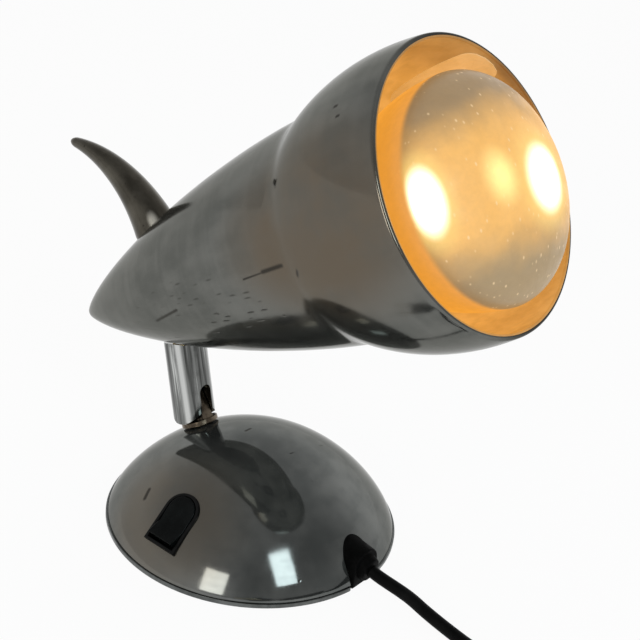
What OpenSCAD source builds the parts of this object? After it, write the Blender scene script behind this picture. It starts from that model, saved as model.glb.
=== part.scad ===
// Plug-in wall lamp: a bullet-shaped metal shade on a short stem, a tilting and swivelling
// knuckle, and a round domed base with a rocker switch and a cable gland.
// The wall face is the plane z = 0 and the shade faces -Y.

/* [Base] */
// Diameter of the base plate, which is the widest part of the base
base_d = 120; // [112:1:132]
// Thickness of the base plate
plate_t = 2; // [1.6:0.1:3]
// How far the plate's edge stands out past the dome
plate_lip = 0.8; // [0.4:0.1:1.5]
// Height of the dome above the plate
dome_h = 37; // [34:0.5:42]
// Wall of the dome
dome_wall = 1.6; // [1.2:0.1:2.2]
// How flat the dome's crown is
dome_crown = 1.95; // [1.8:0.05:2.2]
// How round the dome's shoulder is
dome_shoulder = 1.3; // [1.2:0.05:1.6]
// Distance of the two wall screw holes from the plate's edge
wall_hole_inset = 34; // [30:1:38]
// Diameter of the wall screw holes
wall_hole_d = 4.6; // [4:0.1:5.5]
// Distance of the three plate screws from the plate's edge
plate_screw_inset = 14; // [12:0.5:18]
// Thread diameter of the plate screws
plate_screw_d = 3; // [2.5:0.5:4]

/* [Switch] */
// Distance of the switch's middle from the plate's edge
switch_inset = 13.5; // [12:0.5:15]
// Length of the switch down the slope
switch_len = 23; // [21:0.5:24]
// Width of the switch
switch_w = 15.5; // [14:0.5:17]
// Depth of the switch's case under the dome
switch_depth = 8.5; // [8:0.25:9]
// How far the rocker turns between on and off
rocker_throw = 14; // [8:1:16]
// Wall of the switch's case
switch_wall = 1.3; // [1:0.1:1.6]

/* [Cable] */
// Diameter of the cord
cord_d = 5; // [4.5:0.1:5.5]
// Distance of the gland's shoulder from the plate's edge
gland_inset = 9; // [7:0.5:10]
// Height of the gland's axis above the wall face
gland_z = 9; // [8.9:0.1:11]
// How far the gland points down
gland_droop = 9; // [4:1:12]
// Diameter of the gland's body
gland_d = 14.8; // [14:0.1:15.4]

/* [Knuckle] */
// Distance of the knuckle's foot from the plate's edge
foot_inset = 27.5; // [25:0.5:30]
// Diameter of the collar on the dome
collar_d = 15.4; // [14:0.2:17]
// Thickness of the collar
collar_t = 1.7; // [1.2:0.1:1.8]
// Thickness of the tongue
tongue_t = 5.4; // [4.6:0.1:6]
// Width of the tongue at the collar
tongue_w = 12; // [11:0.5:13.5]
// Height of the tilt pivot above the dome
pivot_h = 12; // [12:0.5:15]
// Diameter of the pivot screw's shank
pivot_d = 4; // [3:0.5:4.5]
// Diameter of the threaded tubes
tube_d = 10; // [9:0.5:11]

/* [Stem] */
// Diameter of the stem
stem_d = 17.5; // [16:0.1:19]
// How far the stem leans forward of the tongue as the lamp stands
rest_tilt = 14.4; // [8:0.1:20]
// Distance along the stem from the pivot to the shade's axis
stem_reach = 48.8; // [47:0.1:52]
// Side gap between the tongue and the slot
slot_gap = 0.4; // [0.3:0.05:0.7]

/* [Shade] */
// How far the shade points up from square to the stem
shade_pitch = 17.7; // [12:0.1:24]
// Length of the shade behind the stem
tail_len = 58.3; // [52:0.1:64]
// Length of the bullet body, from the tail to the crease
body_len = 159.6; // [150:0.1:170]
// Length of the bell, from the crease to the rim
bell_len = 55.2; // [50:0.1:60]
// Radius at the crease between body and bell
crease_r = 42.6; // [40:0.1:45]
// Largest radius of the bell
bell_r = 52.8; // [50:0.1:56]
// Distance of the bell's widest ring behind the rim
bell_peak = 14; // [8:0.5:20]
// Wall of the shade
shade_wall = 2; // [1.6:0.1:2.6]
// Radius of the rounded tail
tail_round = 6; // [4:0.5:8]

/* [Horn] */
// Radius that the horn bends on
horn_bend = 64; // [52:1:75]
// Length of the horn along its bend
horn_len = 59; // [45:1:65]
// Radius of the horn at the shade
horn_base_r = 9; // [7.5:0.1:10]
// Radius of the horn at its tip
horn_tip_r = 1.8; // [1.4:0.1:3]
// Thread diameter of the horn's screw
horn_screw_d = 4; // [3:0.5:5]

/* [Lamp] */
// Largest diameter of the reflector bulb
bulb_d = 80; // [76:0.5:82]
// Length of the bulb with its cap
bulb_len = 112; // [108:1:116]
// How far the bulb stands out of the rim
bulb_front = 20; // [14:0.5:24]
// Height of the bulb's front dome
bulb_crown = 20; // [18:0.5:28]
// How far the lampholder hangs below the shade's axis
lamp_drop = 1.75; // [0:0.25:3.5]
// Thickness of the bulb's glass
glass_t = 1; // [0.8:0.1:1.4]
// Diameter of the bulb's screw cap
cap_d = 26; // [25.5:0.1:26.5]

/* [Hidden] */
$fn = 72;

// Clearances: between pieces that stay together, between pieces that move, and of a running fit
fit_gap = 0.1;
move_gap = 0.35;
run_gap = 0.06;
// Overshoot of a cut past the face that it opens
cut_over = 1;

// Base: the dome's outline and the frames that stand on it
base_r = base_d / 2;
dome_r = base_r - plate_lip;
plate_screw_r = base_r - plate_screw_inset;
switch_r = base_r - switch_inset;
gland_reach = base_r - gland_inset;
foot_r = base_r - foot_inset;
dome_steps = 22;
function dome_rise(r, edge_r, crown_h) =
    crown_h * pow(max(0, 1 - pow(r / edge_r, dome_crown)), 1 / dome_shoulder);
function dome_z(r) = plate_t + dome_rise(r, dome_r, dome_h);
slope_step = 0.05;
function dome_lean(r) = atan((dome_z(r - slope_step) - dome_z(r + slope_step)) / (2 * slope_step));
function dome_line(edge_r, crown_h) =
    [for (i = [0 : dome_steps]) let (r = edge_r * sin(90 * i / dome_steps))
        [r, plate_t + dome_rise(r, edge_r, crown_h)]];
foot_lean = dome_lean(foot_r);
switch_lean = dome_lean(switch_r);
plate_screw_turns = [0, 130, 235];
plate_boss_r = plate_screw_d / 2 + 2;
plate_screw_len = 11;
screw_head_h = 1.4;

// Knuckle
collar_lift = move_gap;
fork_r = pivot_h - collar_lift - collar_t - move_gap;
tongue_end_r = pivot_d / 2 + 2.4;
slot_w = tongue_t + 2 * slot_gap;
slot_arch_z = tongue_end_r + move_gap - sqrt(pow(slot_w / 2, 2) - pow(tongue_t / 2, 2));
foot_pad_r = tube_d / 2 + 4.5;
foot_pad_depth = 5;
washer_t = 1;
nut_h = 5;
nut_r = tube_d / 2 + 3.2;
tube_below = foot_pad_depth + washer_t + nut_h + 3;
tube_bore_r = tube_d / 2 - 1.8;

// Shade: outline along its axis, measured from the tail, and the frame at the stem
tail_cut = 3;
body_fullness = 1.5;
body_roundness = 0.78;
body_steps = 26;
bell_steps = 14;
function ogive_r(x) =
    let (left = max(0, 1 - (x + tail_cut) / (body_len + tail_cut)))
    crease_r * pow(1 - pow(left, body_fullness), body_roundness);
function tail_cap_r(x) = x < tail_round ? sqrt(max(0, 2 * tail_round * x - x * x)) : 1000;
function body_r(x) = min(ogive_r(x), tail_cap_r(x));
bell_span = bell_len - bell_peak;
bell_arc = (pow(bell_span, 2) + pow(bell_r - crease_r, 2)) / (2 * (bell_r - crease_r));
function bell_at(x) = bell_r - bell_arc + sqrt(pow(bell_arc, 2) - pow(x - bell_span, 2));
function body_line() =
    [for (i = [0 : body_steps]) let (x = body_len * pow(i / body_steps, 1.8)) [body_r(x), x]];
function bell_line() =
    [for (i = [1 : bell_steps]) let (x = bell_len * i / bell_steps) [bell_at(x), body_len + x]];
function outer_r(x) = x < body_len ? body_r(x) : bell_at(x - body_len);
rim_x = body_len + bell_len;
inner_tail = tail_round + 2;
inner_steps = 30;
function inner_line() =
    [for (i = [0 : inner_steps]) let (x = inner_tail + (rim_x - inner_tail) * (1 - pow(i / inner_steps, 1.3)))
        [max(0, outer_r(x) - shade_wall), x]];

// Where the stem's axis meets the shade's skin, counted down from the shade's axis
function skin_below(t, tries) =
    tries == 0 ? t : skin_below(outer_r(tail_len - t * sin(shade_pitch)) / cos(shade_pitch), tries - 1);
skin_t = skin_below(crease_r / 2, 12);
stem_top_gap = 0.6;
// Half length of the cones that the stem's and the horn's seats are cut with
seat_half = 40;
stem_top = stem_reach - skin_t - stem_top_gap;
pad_t = skin_t - shade_wall - 3;
pad_r = tube_d / 2 + 4;
nipple_grip = 9;
nipple_past_nut = 2;

// Horn: an arc in the shade's middle plane
horn_start_lean = 8;
horn_seat_x = tail_len - 1;
horn_seat_r = outer_r(horn_seat_x);
horn_root_y = horn_seat_r - 0.5;
shell_lean = atan((outer_r(horn_seat_x + slope_step) - outer_r(horn_seat_x - slope_step)) / (2 * slope_step));
horn_rings = 18;
horn_sides = 20;
horn_screw_in = 12;

// Lamp: stations along the shade's axis, measured from the stem
rim_s = rim_x - tail_len;
bulb_tip_s = rim_s + bulb_front;
bulb_wide_s = bulb_tip_s - bulb_crown;
bulb_end_s = bulb_tip_s - bulb_len;
cap_len = 26;
cap_s = bulb_end_s + 2.4;
cap_top_s = cap_s + cap_len - 2.4;
bulb_neck_s = cap_top_s + 7;
bulb_neck_r = 17;
cap_r = cap_d / 2;
thread_pitch = 3.6;
thread_turns = 5;
thread_depth = 0.8;
thread_gap = 0.3;
holder_r = 19.5;
holder_wall = 2.4;
core_t = 8;
contact_h = 0.8;
core_s = bulb_end_s - contact_h - core_t;
holder_back_s = core_s - 3;
bracket_t = 2;
bracket_w = 14;

// Cord: the routes' points, chosen by hand, and the coil
coil_center = [-45, -base_r - 92];
coil_lift = 1;
coil_pitch = 5.5;
coil_in_r = 20.5;
coil_turns = 3.5;
coil_climb = 0.5;
coil_rings = 24;
coil_sides = 6;
coil_out_r = coil_in_r + coil_pitch * coil_turns;
coil_low_z = coil_lift + cord_d / 2;
gland_nose = 11.5;
gland_tip = [0, -gland_reach - gland_nose * cos(gland_droop), gland_z - gland_nose * sin(gland_droop)];
coil_start = [coil_center[0] + coil_out_r, coil_center[1], coil_low_z];
coil_end = [coil_center[0] - coil_out_r, coil_center[1], coil_low_z + coil_pitch];
plug_z = 8;
plug_back = [coil_end[0], coil_center[1] + 32, plug_z];
plug_len = 36;
plug_pin_len = 19;
plug_pin_pitch = 18.6;
free_route = [
    gland_tip, gland_tip - [0, cord_d * cos(gland_droop), cord_d * sin(gland_droop)],
    [0, -base_r - 20, 5.4], [-1, -base_r - 30, 4], [-2, -base_r - 40, 3], [-3.5, -base_r - 52, 2.7],
    [-4.8, -base_r - 66, 3],
    coil_start + [0, 3 * cord_d, 0], coil_start + [0, 2 * cord_d, 0], coil_start + [0, cord_d, 0]
];
tail_route = [
    coil_end + [0, cord_d, 0], coil_end + [0, 2 * cord_d, 0],
    plug_back - [0, 2 * cord_d, 0], plug_back - [0, cord_d, 0], plug_back
];

// Vector helpers
function unit(v) = v / norm(v);
function along(points, i) = unit(points[min(i + 1, len(points) - 1)] - points[max(i - 1, 0)]);

// A smooth curve through the points, with so many steps between each two
function spline(points, steps) =
    let (n = len(points) - 1)
    concat(
        [for (i = [0 : n - 1]) for (k = [0 : steps - 1])
            let (
                t = k / steps,
                a = points[max(i - 1, 0)], b = points[i], c = points[i + 1], d = points[min(i + 2, n)]
            )
            0.5 * (2 * b + (c - a) * t + (2 * a - 5 * b + 4 * c - d) * t * t
                + (3 * b - a - 3 * c + d) * t * t * t)],
        [points[n]]
    );

// A round tube along the points. radii holds one radius for each point, and side is a direction
// that the tube never runs along.
module sweep(points, radii, sides, side = [0, 0, 1]) {
    rings = len(points);
    vertices = [for (i = [0 : rings - 1])
        let (
            ahead = along(points, i),
            across = unit(cross(side, ahead)),
            over = cross(ahead, across)
        )
        for (k = [0 : sides - 1])
            points[i] + radii[i] * (cos(360 * k / sides) * across + sin(360 * k / sides) * over)];
    walls = [for (i = [0 : rings - 2]) for (k = [0 : sides - 1])
        let (a = i * sides + k, b = i * sides + (k + 1) % sides)
        for (face = [[a, a + sides, b], [b, a + sides, b + sides]]) face];
    first_end = [for (k = [1 : sides - 2]) [0, k, k + 1]];
    last = (rings - 1) * sides;
    last_end = [for (k = [1 : sides - 2]) [last, last + k + 1, last + k]];
    polyhedron(vertices, concat(walls, first_end, last_end));
}

module tube(points, r, sides, side = [0, 0, 1]) {
    sweep(points, [for (p = points) r], sides, side);
}

// Frames: each places its children's own z axis where the name says
module at_foot() {
    translate([0, foot_r, dome_z(foot_r)]) rotate([-foot_lean, 0, 0]) children();
}

module at_pivot() {
    at_foot() translate([0, 0, pivot_h]) children();
}

module in_stem() {
    at_pivot() rotate([rest_tilt, 0, 0]) children();
}

// The shade's frame: +Z along its axis to the rim, +Y to the horn, origin over the stem
module in_shade() {
    in_stem() translate([0, 0, stem_reach]) rotate([90 - shade_pitch, 0, 0]) children();
}

module in_lamp() {
    in_shade() translate([0, -lamp_drop, 0]) children();
}

// The switch's frame: +Z out of the dome, +X up the slope
module at_switch() {
    translate([-switch_r, 0, dome_z(switch_r)]) rotate([0, -switch_lean, 0]) children();
}

// The gland's frame: +Z along the cord, out of the base
module at_gland() {
    translate([0, -gland_reach, gland_z]) rotate([90 + gland_droop, 0, 0]) children();
}

// The horn's seat: +Z square out of the shade's skin
module at_horn_seat() {
    in_shade() translate(horn_axis_shift + [0, horn_seat_r, 0]) rotate([-90 - shell_lean, 0, 0]) children();
}

module at_plate_screws() {
    for (turn = plate_screw_turns) rotate(turn) translate([plate_screw_r, 0, 0]) children();
}

// Hexagon nut with a round hole, standing on z = 0
module hex_nut(corner_r, height, hole_r) {
    difference() {
        cylinder(r = corner_r, h = height, $fn = 6);
        translate([0, 0, -cut_over]) cylinder(r = hole_r, h = height + 2 * cut_over);
    }
}

module ring(outer, inner, height) {
    difference() {
        cylinder(r = outer, h = height);
        translate([0, 0, -cut_over]) cylinder(r = inner, h = height + 2 * cut_over);
    }
}

// Outline with a straight lower end and a round upper end
module arch_outline(length, width) {
    straight = length - width / 2;
    translate([-length / 2, -width / 2]) square([straight, width]);
    translate([length / 2 - width / 2, 0]) circle(d = width);
}

// Base plate with a notch under the gland, two wall screw holes and three screw seats
plate_notch_w = gland_d + 2;
plate_notch_r = gland_reach - 4;
wall_hole_x = base_r - wall_hole_inset;
module base_plate() color("dimgray") difference() {
    cylinder(d = base_d, h = plate_t, $fn = 120);
    for (x = [-wall_hole_x, wall_hole_x]) translate([x, 0, -cut_over])
        cylinder(d = wall_hole_d, h = plate_t + 2 * cut_over);
    translate([-plate_notch_w / 2, -base_d, -cut_over])
        cube([plate_notch_w, base_d - plate_notch_r, plate_t + 2 * cut_over]);
    at_plate_screws() {
        translate([0, 0, -cut_over]) {
            cylinder(d = plate_screw_d + 2 * fit_gap, h = plate_t + 2 * cut_over);
            cylinder(d = 2 * plate_screw_d + 2 * fit_gap, h = screw_head_h + cut_over);
        }
    }
    for (x = clamp_screw_x) translate([x, clamp_y, -cut_over])
        cylinder(d = clamp_screw_d + 2 * fit_gap, h = plate_t + 2 * cut_over);
}

module dome_solid() rotate_extrude($fn = 120)
    polygon(concat([[0, plate_t]], dome_line(dome_r, dome_h)));

module base_dome() color("silver") difference() {
    union() {
        rotate_extrude($fn = 120) polygon(concat(
            dome_line(dome_r, dome_h),
            [for (i = [dome_steps : -1 : 0]) dome_line(dome_r - dome_wall, dome_h - dome_wall)[i]]
        ));
        intersection() {
            dome_solid();
            union() {
                at_foot() translate([0, 0, -foot_pad_depth]) cylinder(r = foot_pad_r, h = 2 * foot_pad_depth);
                at_plate_screws() translate([0, 0, plate_t]) cylinder(r = plate_boss_r, h = dome_h);
            }
        }
    }
    at_foot() translate([0, 0, -3 * foot_pad_depth])
        cylinder(r = tube_d / 2 + run_gap, h = 6 * foot_pad_depth);
    at_switch() translate([0, 0, -2 * switch_depth]) linear_extrude(4 * switch_depth)
        arch_outline(switch_len + 2 * fit_gap, switch_w + 2 * fit_gap);
    at_gland() translate([0, 0, -gland_neck]) cylinder(d = gland_d + 4 * fit_gap, h = 3 * gland_neck);
    translate([-gland_d / 2 - 2 * fit_gap, -base_d, plate_t - cut_over])
        cube([gland_d + 4 * fit_gap, base_d - gland_reach + gland_neck, gland_z - plate_t + cut_over]);
    at_plate_screws() cylinder(d = plate_screw_d, h = plate_screw_len + cut_over);
}

module plate_screws() color("lightgray") at_plate_screws() difference() {
    union() {
        translate([0, 0, fit_gap]) cylinder(d = 2 * plate_screw_d, h = screw_head_h - fit_gap);
        cylinder(d = plate_screw_d - 2 * fit_gap, h = plate_screw_len);
    }
    translate([-plate_screw_d, -driver_slot_w / 2, -cut_over])
        cube([2 * plate_screw_d, driver_slot_w, cut_over + driver_slot_t]);
}

// Rocker switch: case, rocker on two trunnions, blade terminals
rocker_axis_z = -3.4;
trunnion_r = 1.2;
case_rise = 0.5;
rocker_len = switch_len - 2 * switch_wall - 4 * move_gap;
rocker_w = switch_w - 2 * switch_wall - 2 * move_gap;
module switch_case() color([0.06, 0.06, 0.06]) at_switch() difference() {
    translate([0, 0, -switch_depth]) linear_extrude(switch_depth + case_rise)
        arch_outline(switch_len, switch_w);
    translate([0, 0, -switch_depth + switch_wall]) linear_extrude(switch_depth + case_rise)
        arch_outline(switch_len - 2 * switch_wall, switch_w - 2 * switch_wall);
    translate([0, switch_w, rocker_axis_z]) rotate([90, 0, 0])
        cylinder(r = trunnion_r + run_gap, h = 2 * switch_w);
    for (x = terminal_x) translate([x - terminal_t / 2, -terminal_w / 2, -2 * switch_depth])
        cube([terminal_t, terminal_w, 2 * switch_depth]);
}

// The rocker's two faces meet at a crease below the middle; its on end is pressed down at rest
rocker_crease = -3;
rocker_face = 2.4;
rocker_foot = -2.4;
module switch_rocker() color([0.03, 0.03, 0.03]) at_switch() translate([0, 0, rocker_axis_z])
rotate([0, rocker_throw / 2, 0]) {
    intersection() {
        translate([0, 0, rocker_foot]) linear_extrude(14) arch_outline(rocker_len, rocker_w);
        rotate([90, 0, 0]) linear_extrude(2 * switch_w, center = true) polygon([
            [-rocker_len / 2 - 1, -rocker_axis_z + rocker_face],
            [rocker_crease, -rocker_axis_z],
            [rocker_len / 2 + 1, -rocker_axis_z + rocker_face],
            [rocker_len / 2 + 1, 0.6],
            [trunnion_r + 1.6, rocker_foot],
            [-trunnion_r - 1.6, rocker_foot],
            [-rocker_len / 2 - 1, 0.6]
        ]);
    }
    rotate([90, 0, 0]) cylinder(r = trunnion_r, h = switch_w - 2 * move_gap, center = true);
}

terminal_x = [1.5, 7];
terminal_t = 0.8;
terminal_w = 4.8;
terminal_out = 4.5;
module switch_terminals() color("goldenrod") at_switch()
    for (x = terminal_x) translate([x, 0, -switch_depth - terminal_out])
        linear_extrude(terminal_out + switch_wall)
            square([terminal_t - fit_gap, terminal_w - fit_gap], center = true);

// Cable gland: a bush with a flange inside, a block that fills the notch down to the wall face, and a
// round tapered nose
gland_neck = 8;
gland_flange_d = gland_d + 1.2;
gland_flange_t = 2;
gland_block = 8.5;
gland_block_depth = 12;
gland_block_z = 0.4;
gland_nose_r = 5.9;
gland_tip_r = 5.1;
gland_root = -gland_neck - gland_flange_t;
module gland_outline() {
    circle(d = gland_d);
    translate([-gland_d / 2, -2 * gland_z]) square([gland_d, 2 * gland_z]);
}

module cable_gland() color([0.05, 0.05, 0.05]) difference() {
    union() {
        at_gland() rotate_extrude() polygon([
            [0, gland_root],
            [gland_flange_d / 2, gland_root],
            [gland_flange_d / 2, -gland_neck],
            [gland_d / 2 - fit_gap, -gland_neck],
            [gland_d / 2 - fit_gap, 0],
            [gland_nose_r, 0],
            [gland_tip_r, gland_nose - 1.2],
            [gland_tip_r - 1.2, gland_nose],
            [0, gland_nose]
        ]);
        intersection() {
            at_gland() linear_extrude(4 * gland_block, center = true) gland_outline();
            translate([-gland_d, -gland_reach - gland_block, gland_block_z])
                cube([2 * gland_d, gland_block_depth, 3 * gland_d]);
        }
    }
    at_gland() translate([0, 0, gland_root - cut_over])
        cylinder(d = cord_d + 2 * fit_gap, h = gland_nose - gland_root + 2 * cut_over);
}

// Cord clamp and terminal block on the plate
clamp_y = -base_r + 34;
clamp_screw_x = [-8, 8];
clamp_screw_d = 3;
clamp_size = [23, 8, 10];
clamp_cord_z = plate_t + 5;
clamp_top = plate_t + clamp_size[2];
clamp_head_t = 1.8;
module cord_clamp() color("ivory") difference() {
    translate([-clamp_size[0] / 2, clamp_y - clamp_size[1] / 2, plate_t]) cube(clamp_size);
    translate([0, clamp_y, clamp_cord_z]) rotate([90, 0, 0])
        cylinder(d = cord_d + 2 * fit_gap, h = 2 * clamp_size[1], center = true);
    for (x = clamp_screw_x) translate([x, clamp_y, plate_t - cut_over])
        cylinder(d = clamp_screw_d + 2 * fit_gap, h = clamp_size[2] + 2 * cut_over);
}

module clamp_screws() color("lightgray") for (x = clamp_screw_x) translate([x, clamp_y, 0]) difference() {
    union() {
        translate([0, 0, fit_gap]) cylinder(d = clamp_screw_d, h = clamp_top);
        translate([0, 0, clamp_top]) cylinder(d = 1.8 * clamp_screw_d, h = clamp_head_t);
    }
    translate([-clamp_screw_d, -driver_slot_w / 2, clamp_top + clamp_head_t - driver_slot_t])
        cube([2 * clamp_screw_d, driver_slot_w, driver_slot_t + cut_over]);
}

block_y = 4;
block_size = [17, 10, 9];
block_bore_x = [-4.2, 4.2];
block_bore_r = 1.6;
block_bore_z = plate_t + 4.5;
module terminal_block() color("whitesmoke") difference() {
    translate([-block_size[0] / 2, block_y - block_size[1] / 2, plate_t]) cube(block_size);
    for (x = block_bore_x) {
        translate([x, block_y, block_bore_z]) rotate([90, 0, 0])
            cylinder(r = block_bore_r, h = 2 * block_size[1], center = true);
        translate([x, block_y, block_bore_z]) cylinder(r = 1.2, h = block_size[2]);
    }
}

// Leads in the base: the sheathed cord end, and the cores to the switch, the block and the swivel
lead_r = 0.9;
gland_inner = [0, -gland_reach + (gland_neck + gland_flange_t) * cos(gland_droop),
    gland_z + (gland_neck + gland_flange_t) * sin(gland_droop)];
sheath_end_y = clamp_y + clamp_size[1] / 2 + 3;
swivel_mouth = [0, foot_r - tube_below * sin(foot_lean), dome_z(foot_r) - tube_below * cos(foot_lean)];
function in_case(x, y, z) = [
    -switch_r + x * cos(switch_lean) - z * sin(switch_lean), y,
    dome_z(switch_r) + x * sin(switch_lean) + z * cos(switch_lean)];
blade_end = -switch_depth - terminal_out - fit_gap;
lead_bend = 4;
block_front = block_y - block_size[1] / 2;
block_rear = block_y + block_size[1] / 2;
lead_in = 1;
sheath_route = [
    gland_inner, gland_inner + [0, cord_d, 0.4], [0, clamp_y - 9, clamp_cord_z + 1.6],
    [0, clamp_y - 4.5, clamp_cord_z], [0, clamp_y, clamp_cord_z], [0, sheath_end_y, clamp_cord_z]
];
live_route = [
    [-1.2, sheath_end_y, clamp_cord_z], [-4, -14, 8], [-12, -11, 9], [-24, -9, 8.4],
    in_case(terminal_x[0], -1.5, blade_end - lead_bend), in_case(terminal_x[0], -1, blade_end)
];
switched_route = [
    in_case(terminal_x[1], 1, blade_end), in_case(terminal_x[1], 1.5, blade_end - lead_bend), [-25, 6, 10.4],
    [-16, 2, 9.6], [-9, -5, 7.6], [block_bore_x[0], block_front - 3, block_bore_z],
    [block_bore_x[0], block_front + lead_in, block_bore_z]
];
neutral_route = [
    [1.2, sheath_end_y, clamp_cord_z], [3, -12, 6.8], [block_bore_x[1], block_front - 3, block_bore_z],
    [block_bore_x[1], block_front + lead_in, block_bore_z]
];
lamp_routes = [for (side = [-1, 1]) [
    [side * block_bore_x[1], block_rear - lead_in, block_bore_z], [side * 4, 13, 7.2], [side * 2.6, 18, 10],
    swivel_mouth + [side * 1.2, 0.6, 1]
]];
lead_routes = concat([live_route, switched_route, neutral_route], lamp_routes);
module base_leads() color("saddlebrown") {
    tube(spline(sheath_route, 2), cord_d / 2, 8, [1, 0, 0]);
    for (route = lead_routes) tube(spline(route, 3), lead_r, 6);
}

// Knuckle: collar, tongue and threaded tube in one casting, washer and nut inside the dome
tongue_window = [tongue_t, 3.4, 4.4];
tongue_root_z = collar_lift + collar_t / 2 - pivot_h;
module swivel_tongue() color("rosybrown") difference() {
    union() {
        at_foot() translate([0, 0, collar_lift]) cylinder(d = collar_d, h = collar_t);
        at_foot() translate([0, 0, -tube_below])
            cylinder(d = tube_d, h = tube_below + collar_lift + collar_t / 2);
        at_pivot() rotate([90, 0, 90]) linear_extrude(tongue_t, center = true) {
            circle(r = tongue_end_r);
            polygon([
                [-tongue_w / 2, tongue_root_z], [tongue_w / 2, tongue_root_z],
                [tongue_end_r, 0], [-tongue_end_r, 0]
            ]);
        }
    }
    at_pivot() rotate([0, 90, 0]) cylinder(d = pivot_d + 2 * run_gap, h = 2 * stem_d, center = true);
    at_foot() translate([0, 0, -tube_below - cut_over])
        cylinder(r = tube_bore_r, h = tube_below + collar_lift + cut_over);
    at_foot() translate([-tongue_window[0], -tongue_window[1] / 2, 0])
        cube([2 * tongue_window[0], tongue_window[1], tongue_window[2]]);
}

module swivel_washer() color("lightgray") at_foot() translate([0, 0, -foot_pad_depth - move_gap - washer_t])
    ring(foot_pad_r, tube_d / 2 + fit_gap, washer_t);

module swivel_nut() color("goldenrod") at_foot()
    translate([0, 0, -foot_pad_depth - move_gap - washer_t - fit_gap - nut_h])
        hex_nut(nut_r, nut_h, tube_d / 2 + fit_gap);

// Stem: forked below, bored for the leads, threaded above, its upper end hollowed to the shade's skin
stem_bore_r = 2.8;
stem_seat_x = tail_len - skin_t * sin(shade_pitch);
stem_seat_r = outer_r(stem_seat_x) + stem_top_gap;
stem_seat_lean =
    atan((outer_r(stem_seat_x + slope_step) - outer_r(stem_seat_x - slope_step)) / (2 * slope_step));
stem_seat_flare = seat_half * tan(stem_seat_lean);
stem_lip = 4;
stem_end = stem_top + stem_lip;
pivot_head_d = 2 * pivot_d - 1;
pivot_head_x = slot_w / 2 + 2;
pivot_head_t = 1.8;
pivot_blind_x = slot_w / 2 + 3.4;
module stem() color("gainsboro") in_stem() difference() {
    intersection() {
        translate([0, 0, -fork_r]) cylinder(d = stem_d, h = fork_r + stem_end);
        union() {
            rotate([0, 90, 0]) cylinder(r = fork_r, h = 2 * stem_d, center = true);
            translate([-stem_d, -stem_d, 0]) cube([2 * stem_d, 2 * stem_d, stem_end + cut_over]);
        }
    }
    translate([0, 0, stem_reach]) rotate([90 - shade_pitch, 0, 0])
        translate([0, 0, stem_seat_x - tail_len - seat_half]) cylinder(
            r1 = stem_seat_r - stem_seat_flare, r2 = stem_seat_r + stem_seat_flare, h = 2 * seat_half);
    translate([-slot_w / 2, -stem_d, -2 * fork_r]) cube([slot_w, 2 * stem_d, 2 * fork_r + slot_arch_z]);
    translate([0, 0, slot_arch_z]) rotate([90, 0, 0]) cylinder(d = slot_w, h = 2 * stem_d, center = true);
    translate([0, 0, slot_arch_z]) cylinder(r = stem_bore_r, h = stem_top);
    translate([0, 0, stem_top - nipple_grip])
        cylinder(d = tube_d + 2 * fit_gap, h = nipple_grip + stem_lip + cut_over);
    translate([-pivot_blind_x - fit_gap, 0, 0]) rotate([0, 90, 0])
        cylinder(d = pivot_d + 2 * fit_gap, h = 2 * stem_d);
    translate([pivot_head_x, 0, 0]) rotate([0, 90, 0])
        cylinder(d = pivot_head_d + 4 * fit_gap, h = stem_d);
}

module pivot_screw() color("lightgray") in_stem() rotate([0, 90, 0]) difference() {
    union() {
        translate([0, 0, -pivot_blind_x]) cylinder(d = pivot_d, h = pivot_blind_x + pivot_head_x + fit_gap);
        translate([0, 0, pivot_head_x + fit_gap]) cylinder(d = pivot_head_d, h = pivot_head_t);
    }
    translate([-pivot_head_d, -driver_slot_w / 2, pivot_head_x + fit_gap + pivot_head_t - driver_slot_t])
        cube([2 * pivot_head_d, driver_slot_w, driver_slot_t + cut_over]);
}

// Threaded tube through the shade's skin, with its nut on the bracket's foot
nipple_top = stem_reach - pad_t + bracket_t + nut_h + nipple_past_nut;
module stem_nipple() color("goldenrod") in_stem() translate([0, 0, stem_top - nipple_grip + fit_gap])
    ring(tube_d / 2, tube_bore_r, nipple_top - stem_top + nipple_grip - fit_gap);

module nipple_nut() color("goldenrod") in_stem()
    translate([0, 0, stem_reach - pad_t + bracket_t + 2 * fit_gap])
        hex_nut(nut_r, nut_h, tube_d / 2 + fit_gap);

// Shade: one shell of bullet and bell, with an inner pad at the stem
module shade_solid() rotate_extrude($fn = 120) polygon(concat(body_line(), bell_line(), [[0, rim_x]]));

horn_axis_shift = [0, 0, horn_seat_x - tail_len];
module shade() color("darkgray") difference() {
    union() {
        in_shade() translate([0, 0, -tail_len]) rotate_extrude($fn = 120)
            polygon(concat(body_line(), bell_line(), inner_line()));
        intersection() {
            in_shade() translate([0, 0, -tail_len]) shade_solid();
            in_stem() translate([0, 0, stem_top]) cylinder(r = pad_r, h = stem_reach - pad_t - stem_top);
        }
    }
    in_stem() translate([0, 0, stem_top - cut_over])
        cylinder(d = tube_d + 2 * fit_gap, h = stem_reach - stem_top);
    at_horn_seat() translate([0, 0, -3 * shade_wall])
        cylinder(d = horn_screw_d + 2 * fit_gap, h = 6 * shade_wall);
}

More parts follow.
